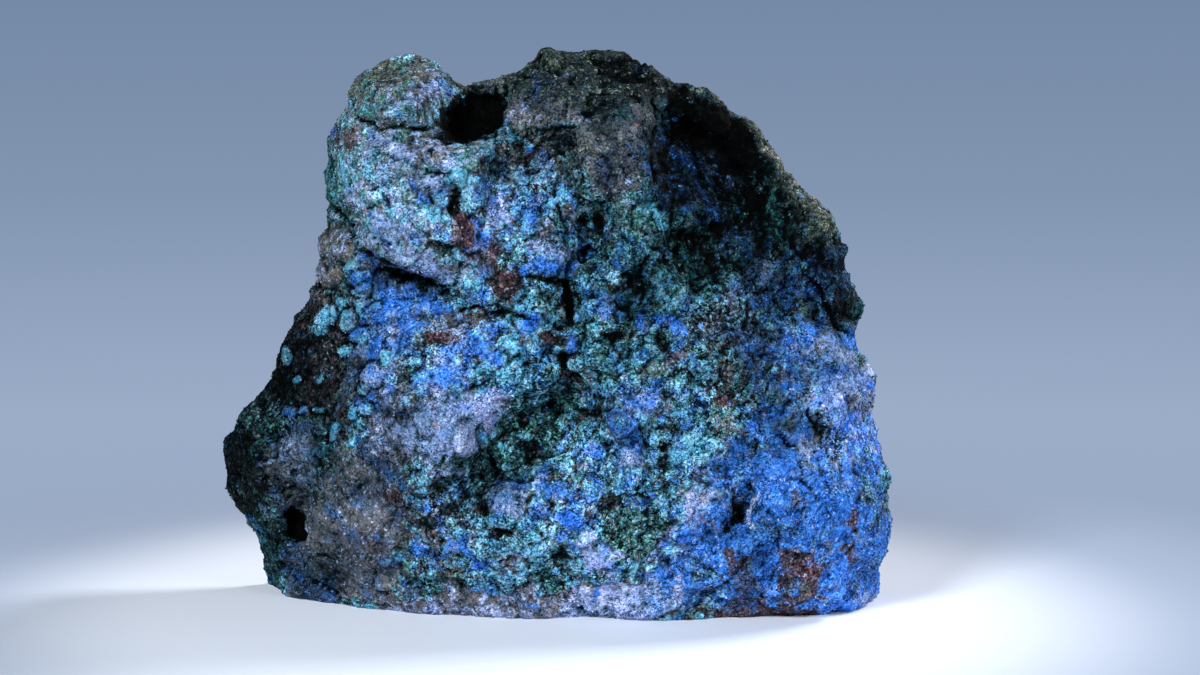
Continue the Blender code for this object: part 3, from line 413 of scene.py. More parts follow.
# Bare relief: across, up, half width, half height, turn, and how far it stands
# out (less than nothing for a pit).
KNOBS = (
    (-28, 88.8, 4.2, 1.6, -20, .6), (41, 86, 2.8, 2.6, 0, .7), (45, 80, 2.6, 2.8, 0, .8),
    (49, 74.5, 2.8, 2.6, 0, .8), (52.5, 70, 2.4, 2.6, 0, .7), (37, 93.6, 3.6, 2.6, -42, 1.2),
    (29.5, 100, 4.4, 2.6, -30, 1.3), (14.6, 106.4, 6, 3.6, 0, 1.2),
    (20.5, 103.4, 4.2, 3.2, -30, 1), (-.4, 106.4, 2.2, 2.6, 30, 1.3), (42, 78, 3.2, 3, 0, .9),
    (-.8, 69.6, 4.8, 4, -8, 1.2), (20, 28, 2.6, 2.2, 0, .9), (4, 20, 2.6, 2.2, 0, .8),
    (-4, 9.5, 3, 1.6, 0, .6), (9, 45, 2.6, 2.2, 0, .8), (-15, 47, 2.8, 2.2, 0, .7),
    (16, 50, 2.4, 2.4, 0, .7), (-12, 74, 2.6, 2.2, 0, .6), (26.5, 22, 3.4, 5, -12, .6),
    (30, 62, 3, 2.4, 0, .7), (8, 86, 3, 3, 0, .5), (-20, 45, 3.2, 2.2, 0, .6),
    (28, 12, 3, 4, -20, .5), (-10.5, 95.5, 1.6, 4.4, 0, -.8), (-15.6, 95.1, 4.8, 3.9, 15, -1.5),
    (-18.4, 79.2, 1.3, 2.2, 0, -1.2), (-10.5, 66, 1.8, 2, 0, -.8), (.4, 54.6, 2.2, .8, -25, -.8),
    (4.6, 47.2, 1.6, 1.1, -10, -.8), (2.3, 50.4, .8, 2.2, 5, -.9), (-48.4, 19, 1.8, 3.3, 14, -2.2),
    (-10, 17.3, 2.8, 1.3, 8, -1), (1.6, 12.8, 1.7, 2.4, 0, -.8), (12, 23, 2.2, 1.4, -10, -.7),
    (35, 22.4, 1.8, 4.6, -18, -.35), (20.6, 53.4, 1.5, 1.9, 40, -.6),
    (8.8, 75.4, 1.1, 2.8, 8, -.7), (-25.8, 65.4, 6.2, 1.2, -14, -1.2), (0, 65, 4.4, .9, -8, -.8),
    (-13.2, 21.6, 1.6, 1.5, 0, -1), (5.3, 1.8, 1.4, 2.4, 0, -1.2), (28.5, 67, 3, 3.2, 0, -.7),
    (-4, 31.6, 1.4, 2, -20, -.8), (30.6, 75, 2, 1.4, 0, -.8), (-19.4, 71.4, 2.6, 1.3, -15, -.7),
    (12, 55, 3, 1.3, 0, -.7), (50.4, 37, 2.6, 1.6, -30, -.7),
)

# Cracks: half width, depth, and the line they follow.
CRACKS = (
    (.3, 1, ((-36, 95.5), (-34, 94.6), (-32, 93.2), (-28, 93.5), (-25, 92.8), (-22, 93.6))),
    (.26, .8, ((-28, 88), (-26, 86.5), (-22.5, 85), (-19, 84.8))),
    (.24, .8, ((-33.5, 82), (-31.8, 82.2), (-30.6, 83))),
    (.24, .8, ((-34.4, 78.6), (-32.6, 79.6), (-31, 80), (-30.4, 79))),
    (.24, .8, ((-23, 82.5), (-22, 80))),
    (.26, .9, ((-33, 73), (-31.6, 72.4), (-30.4, 71.8))),
    (.3, .8, ((9, 104.6), (13, 105.2), (17, 104.8))),
    (.28, .8, ((5.8, 96), (8, 96.6), (10, 97.8))),
    (.28, .8, ((.8, 80), (1.6, 77.4), (2.4, 75))),
    (.34, 1, ((-17, 59.6), (-14, 60.2), (-11, 59), (-8, 59.4), (-5, 58.2), (-3, 57.6))),
    (.31, .8, ((-22, 61.6), (-18, 64.6))),
    (.4, 1.1, ((47, 66.6), (49.6, 63.4), (51.6, 60), (53, 56.8), (56, 54.4))),
    (.34, 1, ((-45, 8), (-43, 6.6), (-40.4, 4.2))),
    (.28, .7, ((-25.4, 38), (-25.2, 35), (-25.6, 32.6))),
    (.34, 1, ((-36, 71), (-32, 69), (-28, 66.8), (-22, 64.6), (-19.6, 64.4))),
    (.28, .7, ((19, 97), (18.8, 90), (19.4, 83))),
    (.3, .8, ((-4, 92.6), (0, 93), (4, 93.4))),
    (.7, 1.6, ((2.6, 64.6), (3.4, 62), (2.8, 59.6), (3.4, 57.6), (1.4, 56.4))),
    (.34, 1, ((5, 41), (8, 40), (11.6, 41.2))),
    (.28, .8, ((-41.4, 80), (-39.4, 77.4), (-37, 75.6))),
    (.26, .8, ((47.6, 41), (48.4, 39), (50.2, 37.6))),
)

# Crust on the back and sides: kind, how wide its patches are, where on the
# noise they start and are full, strength. Later ones lie over earlier ones.
BACK_GROWTHS = (
    ("smooth quartz", 26, -.15, .25, .9), ("olive rind", 17, .1, .4, .7),
    ("teal crust", 19, .05, .35, .9), ("pale crust", 15, .15, .4, .8),
    ("mauve quartz", 12, .25, .45, .8), ("blue-cyan crust", 16, .12, .36, .9),
    ("dark blue", 14, .22, .42, .9), ("blue crust", 18, .2, .4, .95),
    ("lavender quartz", 10, .34, .5, .85), ("rusty dark", 13, .3, .5, .8),
    ("rust", 6, .42, .56, .8), ("deep green", 9, .34, .5, .8), ("near black", 7, .46, .6, .8),
    ("clear cyan", 7, .46, .58, .8),
)


# Settings ---------------------------------------------------------------


def length(name, what, millimetres, **limits):
    """A length, given in mm and kept in metres."""
    return FloatProperty(
        name=name,
        description=what,
        default=millimetres * MM,
        unit="LENGTH",
        precision=5,
        **limits,
    )


def power(name, what, watts):
    """A light's power."""
    return FloatProperty(name=name, description=what, default=watts, unit="POWER")


def number_of(name, what, count):
    """How many crystals a coat has."""
    return IntProperty(name=name, description=what, default=count, min=100, max=24000)


def tint(name, what, colour):
    """A mineral's colour."""
    return FloatVectorProperty(
        name=name, description=what, default=colour, subtype="COLOR", size=3, min=0, max=1
    )


class RockSettings(PropertyGroup):
    """Sizes of the rock body's mesh and fine relief."""

    pitch: length("Mesh pitch", "Spacing of the rock body's mesh", 1.10, min=0.6 * MM, max=2 * MM)
    smoothing: IntProperty(
        name="Smoothing",
        description="Rounds of smoothing before the fine relief is raised",
        default=7,
        min=0,
        max=40,
    )
    facet: FloatProperty(
        name="Broken faces",
        description="How far the flat broken faces lean",
        default=1.0,
        min=0,
        max=3,
    )
    grit: length("Grit", "Height of the granular relief", 0.22)
    swell: length("Swell", "Height of the uneven ground between the main forms", 0.50)
    lump: length("Lumps", "Height of the creased lumps in the crust", 0.95)
    nub: length("Nubs", "Height of the small creased nubs in the crust", 0.32)
    bubble: length("Rounded nodules", "Height of the clustered nodules in the crust", 0.24)


class GrainSettings(PropertyGroup):
    """Numbers and sizes of the small crystals."""

    azure_count: number_of("Azure grains", "How many deep blue grains are grown", 18000)
    cyan_count: number_of("Blue-green grains", "How many blue-green grains are grown", 18000)
    quartz_count: number_of("Quartz grains", "How many pale quartz grains are grown", 9000)
    green_count: number_of("Dark green grains", "How many dark green grains are grown", 12000)
    smallest: length("Smallest grain", "Half width of the smallest grains", 0.12)
    spread: length("Size spread", "How much wider the largest grains are", 0.20)


class MineralColours(PropertyGroup):
    """Colours of the minerals."""

    quartz: tint("Grey quartz", "Clean broken quartz of the body", (.138, .120, .118))
    quartz_deep: tint("Shaded quartz", "Smoky parts of the quartz", (.062, .052, .053))
    pale: tint("Lavender quartz", "Milky quartz with a lilac cast", (.200, .248, .420))
    white: tint("White quartz", "Brightest parts of the milky quartz", (.430, .490, .680))
    tan: tint("Weathered rind", "Olive and tan weathered matrix", (.190, .190, .138))
    tan_deep: tint("Dark rind", "Darker parts of the rind", (.045, .048, .037))
    rust: tint("Iron stain", "Brown-red iron oxide", (.105, .054, .062))
    ochre: tint("Stained grains", "Warm grains between the crusts", (.225, .140, .125))
    rust_deep: tint("Dark iron stain", "Darkest iron oxide", (.022, .010, .012))
    dark: tint("Black-green", "Black-green chlorite", (.0012, .0040, .0060))
    dark_pale: tint("Dark glint", "Lighter specks in the chlorite", (.018, .042, .046))
    green: tint("Green", "Dull green grit", (.026, .115, .100))
    green_pale: tint("Pale green", "Lighter blue-green grit", (.105, .275, .245))
    cyan: tint("Cyan crust", "Blue-green copper silicate", (.078, .300, .440))
    cyan_pale: tint("Pale cyan", "Palest blue-green tufts", (.240, .465, .570))
    blue: tint("Azure crust", "Deep blue copper silicate", (.013, .094, .400))
    soaked: tint("Blue wash", "Blue that has soaked into the quartz", (.024, .098, .250))
    blue_pale: tint("Bright azure", "Brightest blue", (.060, .218, .630))


class StageSettings(PropertyGroup):
    """Floor, lights and camera."""

    floor_radius: length("Floor radius", "Half width of the round floor", 250)
    key_power: power("Key light", "Power of the soft light at the front left", 9.0)
    fill_power: power("Fill light", "Power of the soft light at the front right", 2.6)
    rim_power: power("Rim light", "Power of the light high at the back right", 7.0)
    lens: FloatProperty(
        name="Lens", description="Focal length of the camera", default=70.0, unit="CAMERA"
    )


class SpecimenSettings(PropertyGroup):
    """All settings of the specimen."""

    rock: PointerProperty(name="Rock", description="Rock body", type=RockSettings)
    grains: PointerProperty(name="Grains", description="Small crystals", type=GrainSettings)
    colours: PointerProperty(name="Colours", description="Mineral colours", type=MineralColours)
    stage: PointerProperty(name="Stage", description="Stage", type=StageSettings)


# Repeatable noise ---------------------------------------------------------

WORD = 0xFFFFFFFF
SCRAMBLERS = (374761393, 668265263, 1442695041, 974634777)
SEED_SHIFT = 7.31
LAYER_SHIFT = 11.7
LAYER_STRETCH = np.array((1.0, 0.97, 1.03))


def scramble(x, y, z, seed):
    """Repeatable numbers from 0 to 1 for whole-number lattice places."""
    mixed = sum(part * by for part, by in zip((x, y, z, seed), SCRAMBLERS)) & WORD
    for shift, by in ((13, 1274126177), (15, 1103515245)):
        mixed = ((mixed ^ (mixed >> shift)) * by) & WORD
    return ((mixed ^ (mixed >> 16)) & 0xFFFFFF) / float(0xFFFFFF)


def lattice_noise(points, size, seed):
    """Smooth noise from -1 to 1 whose lumps are about size mm across."""
    place = points / size + seed * SEED_SHIFT
    whole = np.floor(place).astype(np.int64)
    part = place - whole
    ease = part * part * part * (part * (part * 6 - 15) + 10)
    total = np.zeros(len(points))
    for corner in np.ndindex(2, 2, 2):
        step = corner[::-1]
        weight = np.ones(len(points))
        for axis in range(3):
            weight *= ease[:, axis] if step[axis] else 1 - ease[:, axis]
        total += weight * scramble(*(whole + step).T, seed)
    return total * 2 - 1


def layered_noise(points, size, seed, layers=4, keep=0.55):
    """Noise with finer and weaker layers added, about -1 to 1."""
    total = np.zeros(len(points))
    strength, most = 1.0, 0.0
    for layer in range(layers):
        total += strength * lattice_noise(points, size, seed + layer)
        most += strength
        strength *= keep
        size *= 0.5
        points = points[:, (1, 2, 0)] * LAYER_STRETCH + LAYER_SHIFT
    return total / most * 1.5


def noise_columns(count, points, size, seed, layers):
    """Layered noise of its own in each of several columns."""
    columns = [layered_noise(points, size, seed + k, layers) for k in range(count)]
    return np.stack(columns, axis=1)


def nearest_seed(points, size, seed, extra):
    """The nearest of a scatter of places, one in each cell of size mm: how far
    off it is and the way from it, both in cells, and its own random numbers."""
    place = points / size
    whole = np.floor(place).astype(np.int64)
    nearest = np.full(len(points), np.inf)
    way, luck = np.zeros((len(points), 3)), np.zeros((len(points), extra))
    for corner in np.ndindex(3, 3, 3):
        cell = whole + np.array(corner) - 1
        draws = np.stack([scramble(*cell.T, seed + k) for k in range(3 + extra)], axis=1)
        gap = place - cell - draws[:, :3]
        away = np.linalg.norm(gap, axis=1)
        closer = away < nearest
        nearest[closer], way[closer] = away[closer], gap[closer]
        luck[closer] = draws[closer, 3:]
    return nearest, way, luck


def facet_height(points, size, seed):
    """Height of broken flat faces about size mm across, each leaning its own way."""
    _, way, luck = nearest_seed(points, size, seed, 3)
    return (way * (luck * 2 - 1)).sum(axis=1) * size


def ramp(value, low, high):
    """0 below low, 1 above high, and an eased change between them."""
    share = np.clip((value - low) / (high - low), 0, 1)
    return share * share * (3 - 2 * share)


# The rock body's surface ----------------------------------------------------


def numbers(items, name, width, kind=float):
    """One property of a mesh's points, edges or faces, width numbers to a row."""
    values = np.zeros(len(items) * width, kind)
    items.foreach_get(name, values)
    return values.reshape(-1, width)


def unit(vectors):
    """Vectors at length 1."""
    return vectors / np.maximum(np.linalg.norm(vectors, axis=1, keepdims=True), 1e-12)


class Surface:
    """Points, triangles and edges of a mesh as arrays, in mm."""

    def __init__(self, mesh):
        mesh.calc_loop_triangles()
        self.points = numbers(mesh.vertices, "co", 3)
        self.edges = numbers(mesh.edges, "vertices", 2, np.int64)
        self.triangles = numbers(mesh.loop_triangles, "vertices", 3, np.int64)
        self.valence = np.bincount(self.edges.ravel(), minlength=len(self.points))
        self.valence = np.maximum(self.valence, 1).astype(float)

    def spread(self, values, rounds):
        """Values half averaged with their neighbours, round after round."""
        a, b = self.edges.T
        for _ in range(rounds):
            columns = [
                np.bincount(a, column[b], len(values)) + np.bincount(b, column[a], len(values))
                for column in values.T
            ]
            mean = np.stack(columns, axis=1) / self.valence[:, None]
            values = values + 0.5 * (mean - values)
        return values

    def normals(self):
        """Outward direction at each point."""
        p0, p1, p2 = (self.points[corner] for corner in self.triangles.T)
        across = np.cross(p1 - p0, p2 - p0)
        total = np.zeros_like(self.points)
        for corner in self.triangles.T:
            for axis in range(3):
                total[:, axis] += np.bincount(corner, across[:, axis], len(self.points))
        return unit(total)

    def settle(self):
        """Lets nothing reach below the flat base."""
        self.points[:, 2] = np.maximum(self.points[:, 2], 0.0)


def face_map(points):
    """Across and up for each point, as the face is seen square-on."""
    scale = (FACE_PLANE - EYE[1]) / (points[:, 1] - EYE[1])
    across = EYE_ACROSS + (points[:, 0] - EYE[0]) * scale
    up = EYE[2] + (points[:, 2] - EYE[2]) * scale
    return np.stack((across, up), axis=1)


def oval_distance(places, across, up, half_width, half_height, turn):
    """Distance from an oval's middle, 1 at its edge."""
    cos, sin = math.cos(math.radians(turn)), math.sin(math.radians(turn))
    dx, dz = places[:, 0] - across, places[:, 1] - up
    return np.hypot((dx * cos + dz * sin) / half_width, (dz * cos - dx * sin) / half_height)


def line_distance(places, line):
    """Distance in mm from a line of several straight stretches."""
    nearest = np.full(len(places), np.inf)
    for start, end in zip(line, line[1:]):
        along = np.subtract(end, start, dtype=float)
        share = np.clip(((places - start) @ along) / (along @ along), 0, 1)
        gap = places - start - share[:, None] * along
        nearest = np.minimum(nearest, np.hypot(gap[:, 0], gap[:, 1]))
    return nearest


def covered(count, mix):
    """The covers of points that all lie under one kind of crust."""
    return {name: np.full(count, MIXES[mix].get(name, 0.0), float) for name in COVERS}


def lay_mix(covers, mix, weight):
    """Changes the covers towards a kind of crust by weight."""
    for name in COVERS:
        covers[name] += (MIXES[mix].get(name, 0.0) - covers[name]) * weight


def lay_fields(covers, places, fields, soft, ragged):
    """Lays soft and ragged ovals of crust over the covers."""
    for mix, *oval, strength in fields:
        away = oval_distance(places, *oval) + ragged
        lay_mix(covers, mix, strength * ramp(-away, -1 - soft, -1 + soft))


def lay_veins(covers, places, veins, ragged):
    """Lays broken veins of crust over the covers."""
    for mix, half_width, strength, line in veins:
        away = line_distance(places, line) / half_width + ragged
        lay_mix(covers, mix, strength * ramp(-away, -1.5, -0.5))


def dense_copy(node, pitch):
    """A closed mesh of a frame node in mm: even all round, and twice as fine
    on the crusted face."""
    mesh = node.data.copy()
    mesh.transform(Matrix.Scale(1 / MM, 4))
    rough = bpy.data.objects.new("rough_rock", mesh)
    bpy.context.scene.collection.objects.link(rough)
    even = rough.modifiers.new("Even mesh", "REMESH")
    even.mode, even.voxel_size, even.adaptivity = "VOXEL", pitch / MM, 0.0
    seen = rough.evaluated_get(bpy.context.evaluated_depsgraph_get())
    dense = bpy.data.meshes.new_from_object(seen)
    bpy.data.objects.remove(rough)
    bpy.data.meshes.remove(mesh)
    coarse = Surface(dense)
    fine = -coarse.spread(coarse.normals(), rounds=10)[:, 1] > FINE_FACING
    cage = bmesh.new()
    cage.from_mesh(dense)
    cage.verts.ensure_lookup_table()
    chosen = [edge for edge in cage.edges if all(fine[end.index] for end in edge.verts)]
    bmesh.ops.subdivide_edges(cage, edges=chosen, cuts=1, use_grid_fill=True)
    bmesh.ops.triangulate(cage, faces=[face for face in cage.faces if len(face.verts) > 4])
    cage.to_mesh(dense)
    cage.free()
    return dense


def paint_covers(surface, facing):
    """The share of each mineral and the painted shade at every point, and how far
    each point belongs to the front."""
    points, places = surface.points, face_map(surface.points)
    drift = 1.1 * noise_columns(2, points, 5.0, 40, 4) + 0.6 * np.stack(
        [lattice_noise(points, 1.7, 50 + k) for k in range(2)], axis=1
    )
    ragged = 0.42 * layered_noise(points, 6.0, 55)
    frayed = 0.55 * layered_noise(points, 2.4, 58, 3)
    covers = covered(len(points), "back rind")
    for place, (mix, size, start, full, strength) in enumerate(BACK_GROWTHS):
        growth = layered_noise(points, size, 200 + 7 * place, 5, 0.6)
        lay_mix(covers, mix, strength * ramp(growth, start, full))
    # The smaller the forms, the less they drift and the sharper they end.
    front = covered(len(points), "mottled crust")
    lay_fields(front, places + 1.3 * drift, FIELDS, 0.40, ragged)
    lay_veins(front, places + 0.8 * drift, VEINS, 1.5 * frayed)
    lay_fields(front, places + 0.8 * drift, PATCHES, 0.45, 1.3 * frayed)
    lumps = [lump[:-1] + (LUMP_COVER,) for lump in LUMPS]
    lay_fields(front, places + 0.5 * drift, lumps, 0.30, frayed)
    pebbles = [pebble[:-1] + (PEBBLE_COVER,) for pebble in PEBBLES]
    lay_fields(front, places + 0.35 * drift, pebbles, 0.12, 0.35 * frayed)
    # Each oval lays painted shade; one of less than nothing lays painted light.
    for *oval, painted_shade in PAINTED_SHADE_OVALS:
        away = oval_distance(places + drift, *oval)
        painted_shade *= ramp(-away - ragged, -1.35, -0.55)
        front["shade"] += painted_shade * (1 - np.maximum(front["shade"], 0) * (painted_shade > 0))
    share = ramp(facing + 0.22 * layered_noise(points, 9.0, 71), *FRONT_FACING)
    for name in COVERS:
        covers[name] += (front[name] - covers[name]) * share
    return covers, share


def grown_relief(points, settings, covers):
    """Height in mm of the relief that the crust and the broken quartz have all
    over, and how much painted shade its creases and hairline cracks get. Each noise
    is given its size in mm, its seed and how many layers it has."""
    crusted = np.clip(covers["cyan"] + covers["green"] + 0.6 * covers["dark"] - 0.1, 0, 1)
    height = settings.swell / MM * layered_noise(points, 6.5, 11, 3)
    smooth = 0.35 + 0.5 * covers["calm"]
    craggy = 0.30 + 0.70 * np.clip(covers["cyan"] + covers["green"] - smooth, 0, 1)
    bent = points + 0.4 * noise_columns(3, points, 4.0, 48, 2)
    faces = 0.10 * facet_height(bent, 7.0, 60) + 0.10 * facet_height(bent, 3.4, 66)
    height += settings.facet * faces * (1.4 - craggy)
    lumps = np.abs(layered_noise(points, 5.6, 14, 2))
    nubs = np.abs(layered_noise(points, 3.0, 17, 2))
    height += craggy * settings.lump / MM * (1.7 * lumps - 0.5)
    height += craggy * settings.nub / MM * (1.7 * nubs - 0.5)
    creased = ramp(layered_noise(points, 8.0, 46, 2), -0.25, 0.25)
    crease = ramp(-lumps, -0.10, 0.0) * creased + 0.4 * ramp(-nubs, -0.13, 0.0)
    nearest, _, lucky = nearest_seed(points, 2.3, 21, 1)
    patchy = ramp(layered_noise(points, 8.0, 24), -0.25, 0.35)
    nodules = np.sqrt(np.clip(1 - (nearest / 0.75) ** 2, 0, 1)) * ramp(lucky[:, 0], 0.25, 0.7)
    height += settings.bubble / MM * nodules * patchy * (0.15 + 0.85 * crusted)
    nearest, _, _ = nearest_seed(points, 1.05, 25, 0)
    height += 0.8 * settings.grit / MM * (0.7 - nearest) * (0.3 + 0.7 * crusted)
    height += settings.grit / MM * layered_noise(points, 1.3, 31, 2) * (0.4 + 0.6 * crusted)
    hairline = np.abs(layered_noise(points, 13.0, 34, 3))
    cracked = ramp(-hairline, -0.020, -0.003) * ramp(layered_noise(points, 20.0, 37), 0.0, 0.4)
    return height - 0.25 * cracked, 0.45 * cracked + 0.44 * craggy * crease


def placed_relief(points, front):
    """Height in mm of the placed pebbles, lumps, knobs, pits and cracks, and
    how much painted shade the gaps round and in them get."""
    places = face_map(points) + 0.35 * noise_columns(2, points, 3.0, 80, 3)
    frayed = 0.42 * layered_noise(points, 2.6, 39, 3)
    height, gap = np.zeros(len(points)), np.zeros(len(points))
    for _, *oval, rise in PEBBLES:
        away = oval_distance(places, *oval) + 0.3 * frayed
        height += rise * (ramp(-away, -1.05, -0.45) - 0.25 * ramp(-away, -1.6, -1.0))
        gap += 0.40 * ramp(-np.abs(away - 1.12), -0.22, 0)
    for *oval, rise in (*(lump[1:] for lump in LUMPS), *KNOBS):
        away = oval_distance(places, *oval) + frayed
        form = ramp(-away, -1.05, -0.15) if rise > 0 else ramp(-away, -1.25, -0.1)
        height += rise * form
        gap += 0.30 * ramp(-np.abs(away - 1.05), -0.25, 0) if rise > 0 else 0.20 * form
    broken = 0.35 + 0.65 * ramp(layered_noise(points, 3.2, 43, 2), -0.35, 0.15)
    for half_width, depth, line in CRACKS:
        away = line_distance(places, line) / half_width + 2 * frayed
        groove = ramp(-away, -1.9, -0.2) * broken
        height -= depth * groove
        gap += 0.70 * groove
    return height * front, gap * front


def raise_relief(surface, settings, covers, front):
    """Moves the points out and in to give the fine relief, and returns the
    painted shade of its creases, cracks and gaps, 0 to 1."""
    grown, creases = grown_relief(surface.points, settings, covers)
    placed, gaps = placed_relief(surface.points, front)
    broad = unit(surface.spread(surface.normals(), rounds=6))
    low = surface.points[:, 2] < BASE_BAND
    height = (grown + placed) * np.where(low, BASE_RELIEF, 1.0)
    surface.points = surface.points + broad * height[:, None]
    surface.settle()
    surface.points[low & (broad[:, 2] < -0.5), 2] = 0.0
    return np.clip(creases + gaps, 0, 1)


def hollow_share(surface, rounds, full):
    """How far each point lies below its surroundings, 0 to 1, and less than
    nothing where it stands out."""
    level = surface.spread(surface.points, rounds)
    below = np.einsum("ij,ij->i", level - surface.points, surface.normals())
    return np.clip(below / full, -1, 1)


def shade_dips_light_tips(covers, front, small):
    """Paints more of the dark mineral into the small dips and more quartz and cyan
    onto the tips: painted shade in the dips and a painted highlight on the tips.
    """
    tip, dip = np.maximum(-small, 0), np.maximum(small, 0)
    covers["dark"] += front * (0.45 * dip - 0.25 * tip) * (covers["dark"] + 0.15)
    covers["pale"] += 0.35 * front * tip * (covers["pale"] + 0.1)
    covers["cyan"] += front * (0.30 * tip - 0.20 * dip) * covers["cyan"]


# Finishes ---------------------------------------------------------------

# The Mix node's sockets for colours: share, first, second and result.
MIX_SHARE, MIX_FIRST, MIX_SECOND, MIX_RESULT = 0, 6, 7, 2


def rgba(colour):
    """A colour that lets nothing through."""
    return (*colour, 1.0)


class Wire:
    """One output socket, with arithmetic that adds Math nodes."""

    def __init__(self, finish, socket):
        self.finish, self.socket = finish, socket

    def _math(self, kind, *values):
        return self.finish.add("ShaderNodeMath", {"operation": kind}, dict(enumerate(values)))

    def __add__(self, other):
        return self._math("ADD", self, other)

    def __sub__(self, other):
        return self._math("SUBTRACT", self, other)

    def __mul__(self, other):
        return self._math("MULTIPLY", self, other)

    def __pow__(self, other):
        return self._math("POWER", self, other)

    def __radd__(self, other):
        return self._math("ADD", other, self)

    def __rsub__(self, other):
        return self._math("SUBTRACT", other, self)

    def __rmul__(self, other):
        return self._math("MULTIPLY", other, self)

    def over(self, level):
        """How far the value is over a level."""
        return self._math("MAXIMUM", self - level, 0.0)

    def step(self, low, high):
        """0 below low, 1 above high, eased between; either may be a wire."""
        return self.finish.add(
            "ShaderNodeMapRange",
            {"interpolation_type": "SMOOTHSTEP"},
            {"Value": self, "From Min": low, "From Max": high},
        )

    def output(self, name):
        """Another output of the same node."""
        return Wire(self.finish, self.socket.node.outputs[name])


class Finish:
    """The nodes of one material or world, with one way to add a node."""

    def __init__(self, owner):
        owner.use_nodes = True
        self.owner, self.tree = owner, owner.node_tree
        self.tree.nodes.clear()

    def add(self, kind, settings=None, sockets=None, out=0):
        """A node of one type, its settings, then its sockets' values or wires."""
        node = self.tree.nodes.new(kind)
        for name, value in (settings or {}).items():
            if name == "stops":
                self._stops(node.color_ramp, value)
            else:
                setattr(node, name, value)
        for name, value in (sockets or {}).items():
            if isinstance(value, Wire):
                self.tree.links.new(value.socket, node.inputs[name])
            else:
                node.inputs[name].default_value = value
        return Wire(self, node.outputs[out]) if len(node.outputs) else None

    @staticmethod
    def _stops(colour_ramp, stops):
        while len(colour_ramp.elements) < len(stops):
            colour_ramp.elements.new(1.0)
        for element, (place, colour) in zip(colour_ramp.elements, stops):
            element.position, element.color = place, rgba(colour)

    def noise(self, where, size, detail, rough, out="Fac"):
        """Smooth noise with lumps of about size mm."""
        sockets = {"Vector": where, "Scale": 1 / size, "Detail": detail, "Roughness": rough}
        return self.add("ShaderNodeTexNoise", None, sockets, out)

    def cells(self, where, size, feature="F1"):
        """Cells of about size mm."""
        sockets = {"Vector": where, "Scale": 1 / size}
        return self.add("ShaderNodeTexVoronoi", {"feature": feature}, sockets)

    def parts(self, colour):
        """The three numbers in a colour."""
        split = self.add("ShaderNodeSeparateColor", None, {"Color": colour})
        return [split.output(k) for k in range(3)]

    def share(self, name):
        """A number kept at the mesh's points."""
        return self.add("ShaderNodeAttribute", {"attribute_name": name}, None, "Fac")

    def blend(self, share, first, second, how="MIX"):
        """One colour mixed with another."""
        return self.add(
            "ShaderNodeMix",
            {"data_type": "RGBA", "blend_type": how},
            {MIX_SHARE: share, MIX_FIRST: first, MIX_SECOND: second},
            MIX_RESULT,
        )

    def between(self, share, first, second):
        """A colour from one setting's to another's."""
        return self.blend(share, rgba(first), rgba(second))

    def move(self, how, first, second):
        """Two vectors put together."""
        return self.add("ShaderNodeVectorMath", {"operation": how}, {0: first, 1: second})

    def close(self, shader, output="ShaderNodeOutputMaterial"):
        """Joins the shader to the output; returns the material or world."""
        self.add(output, None, {"Surface": shader})
        return self.owner


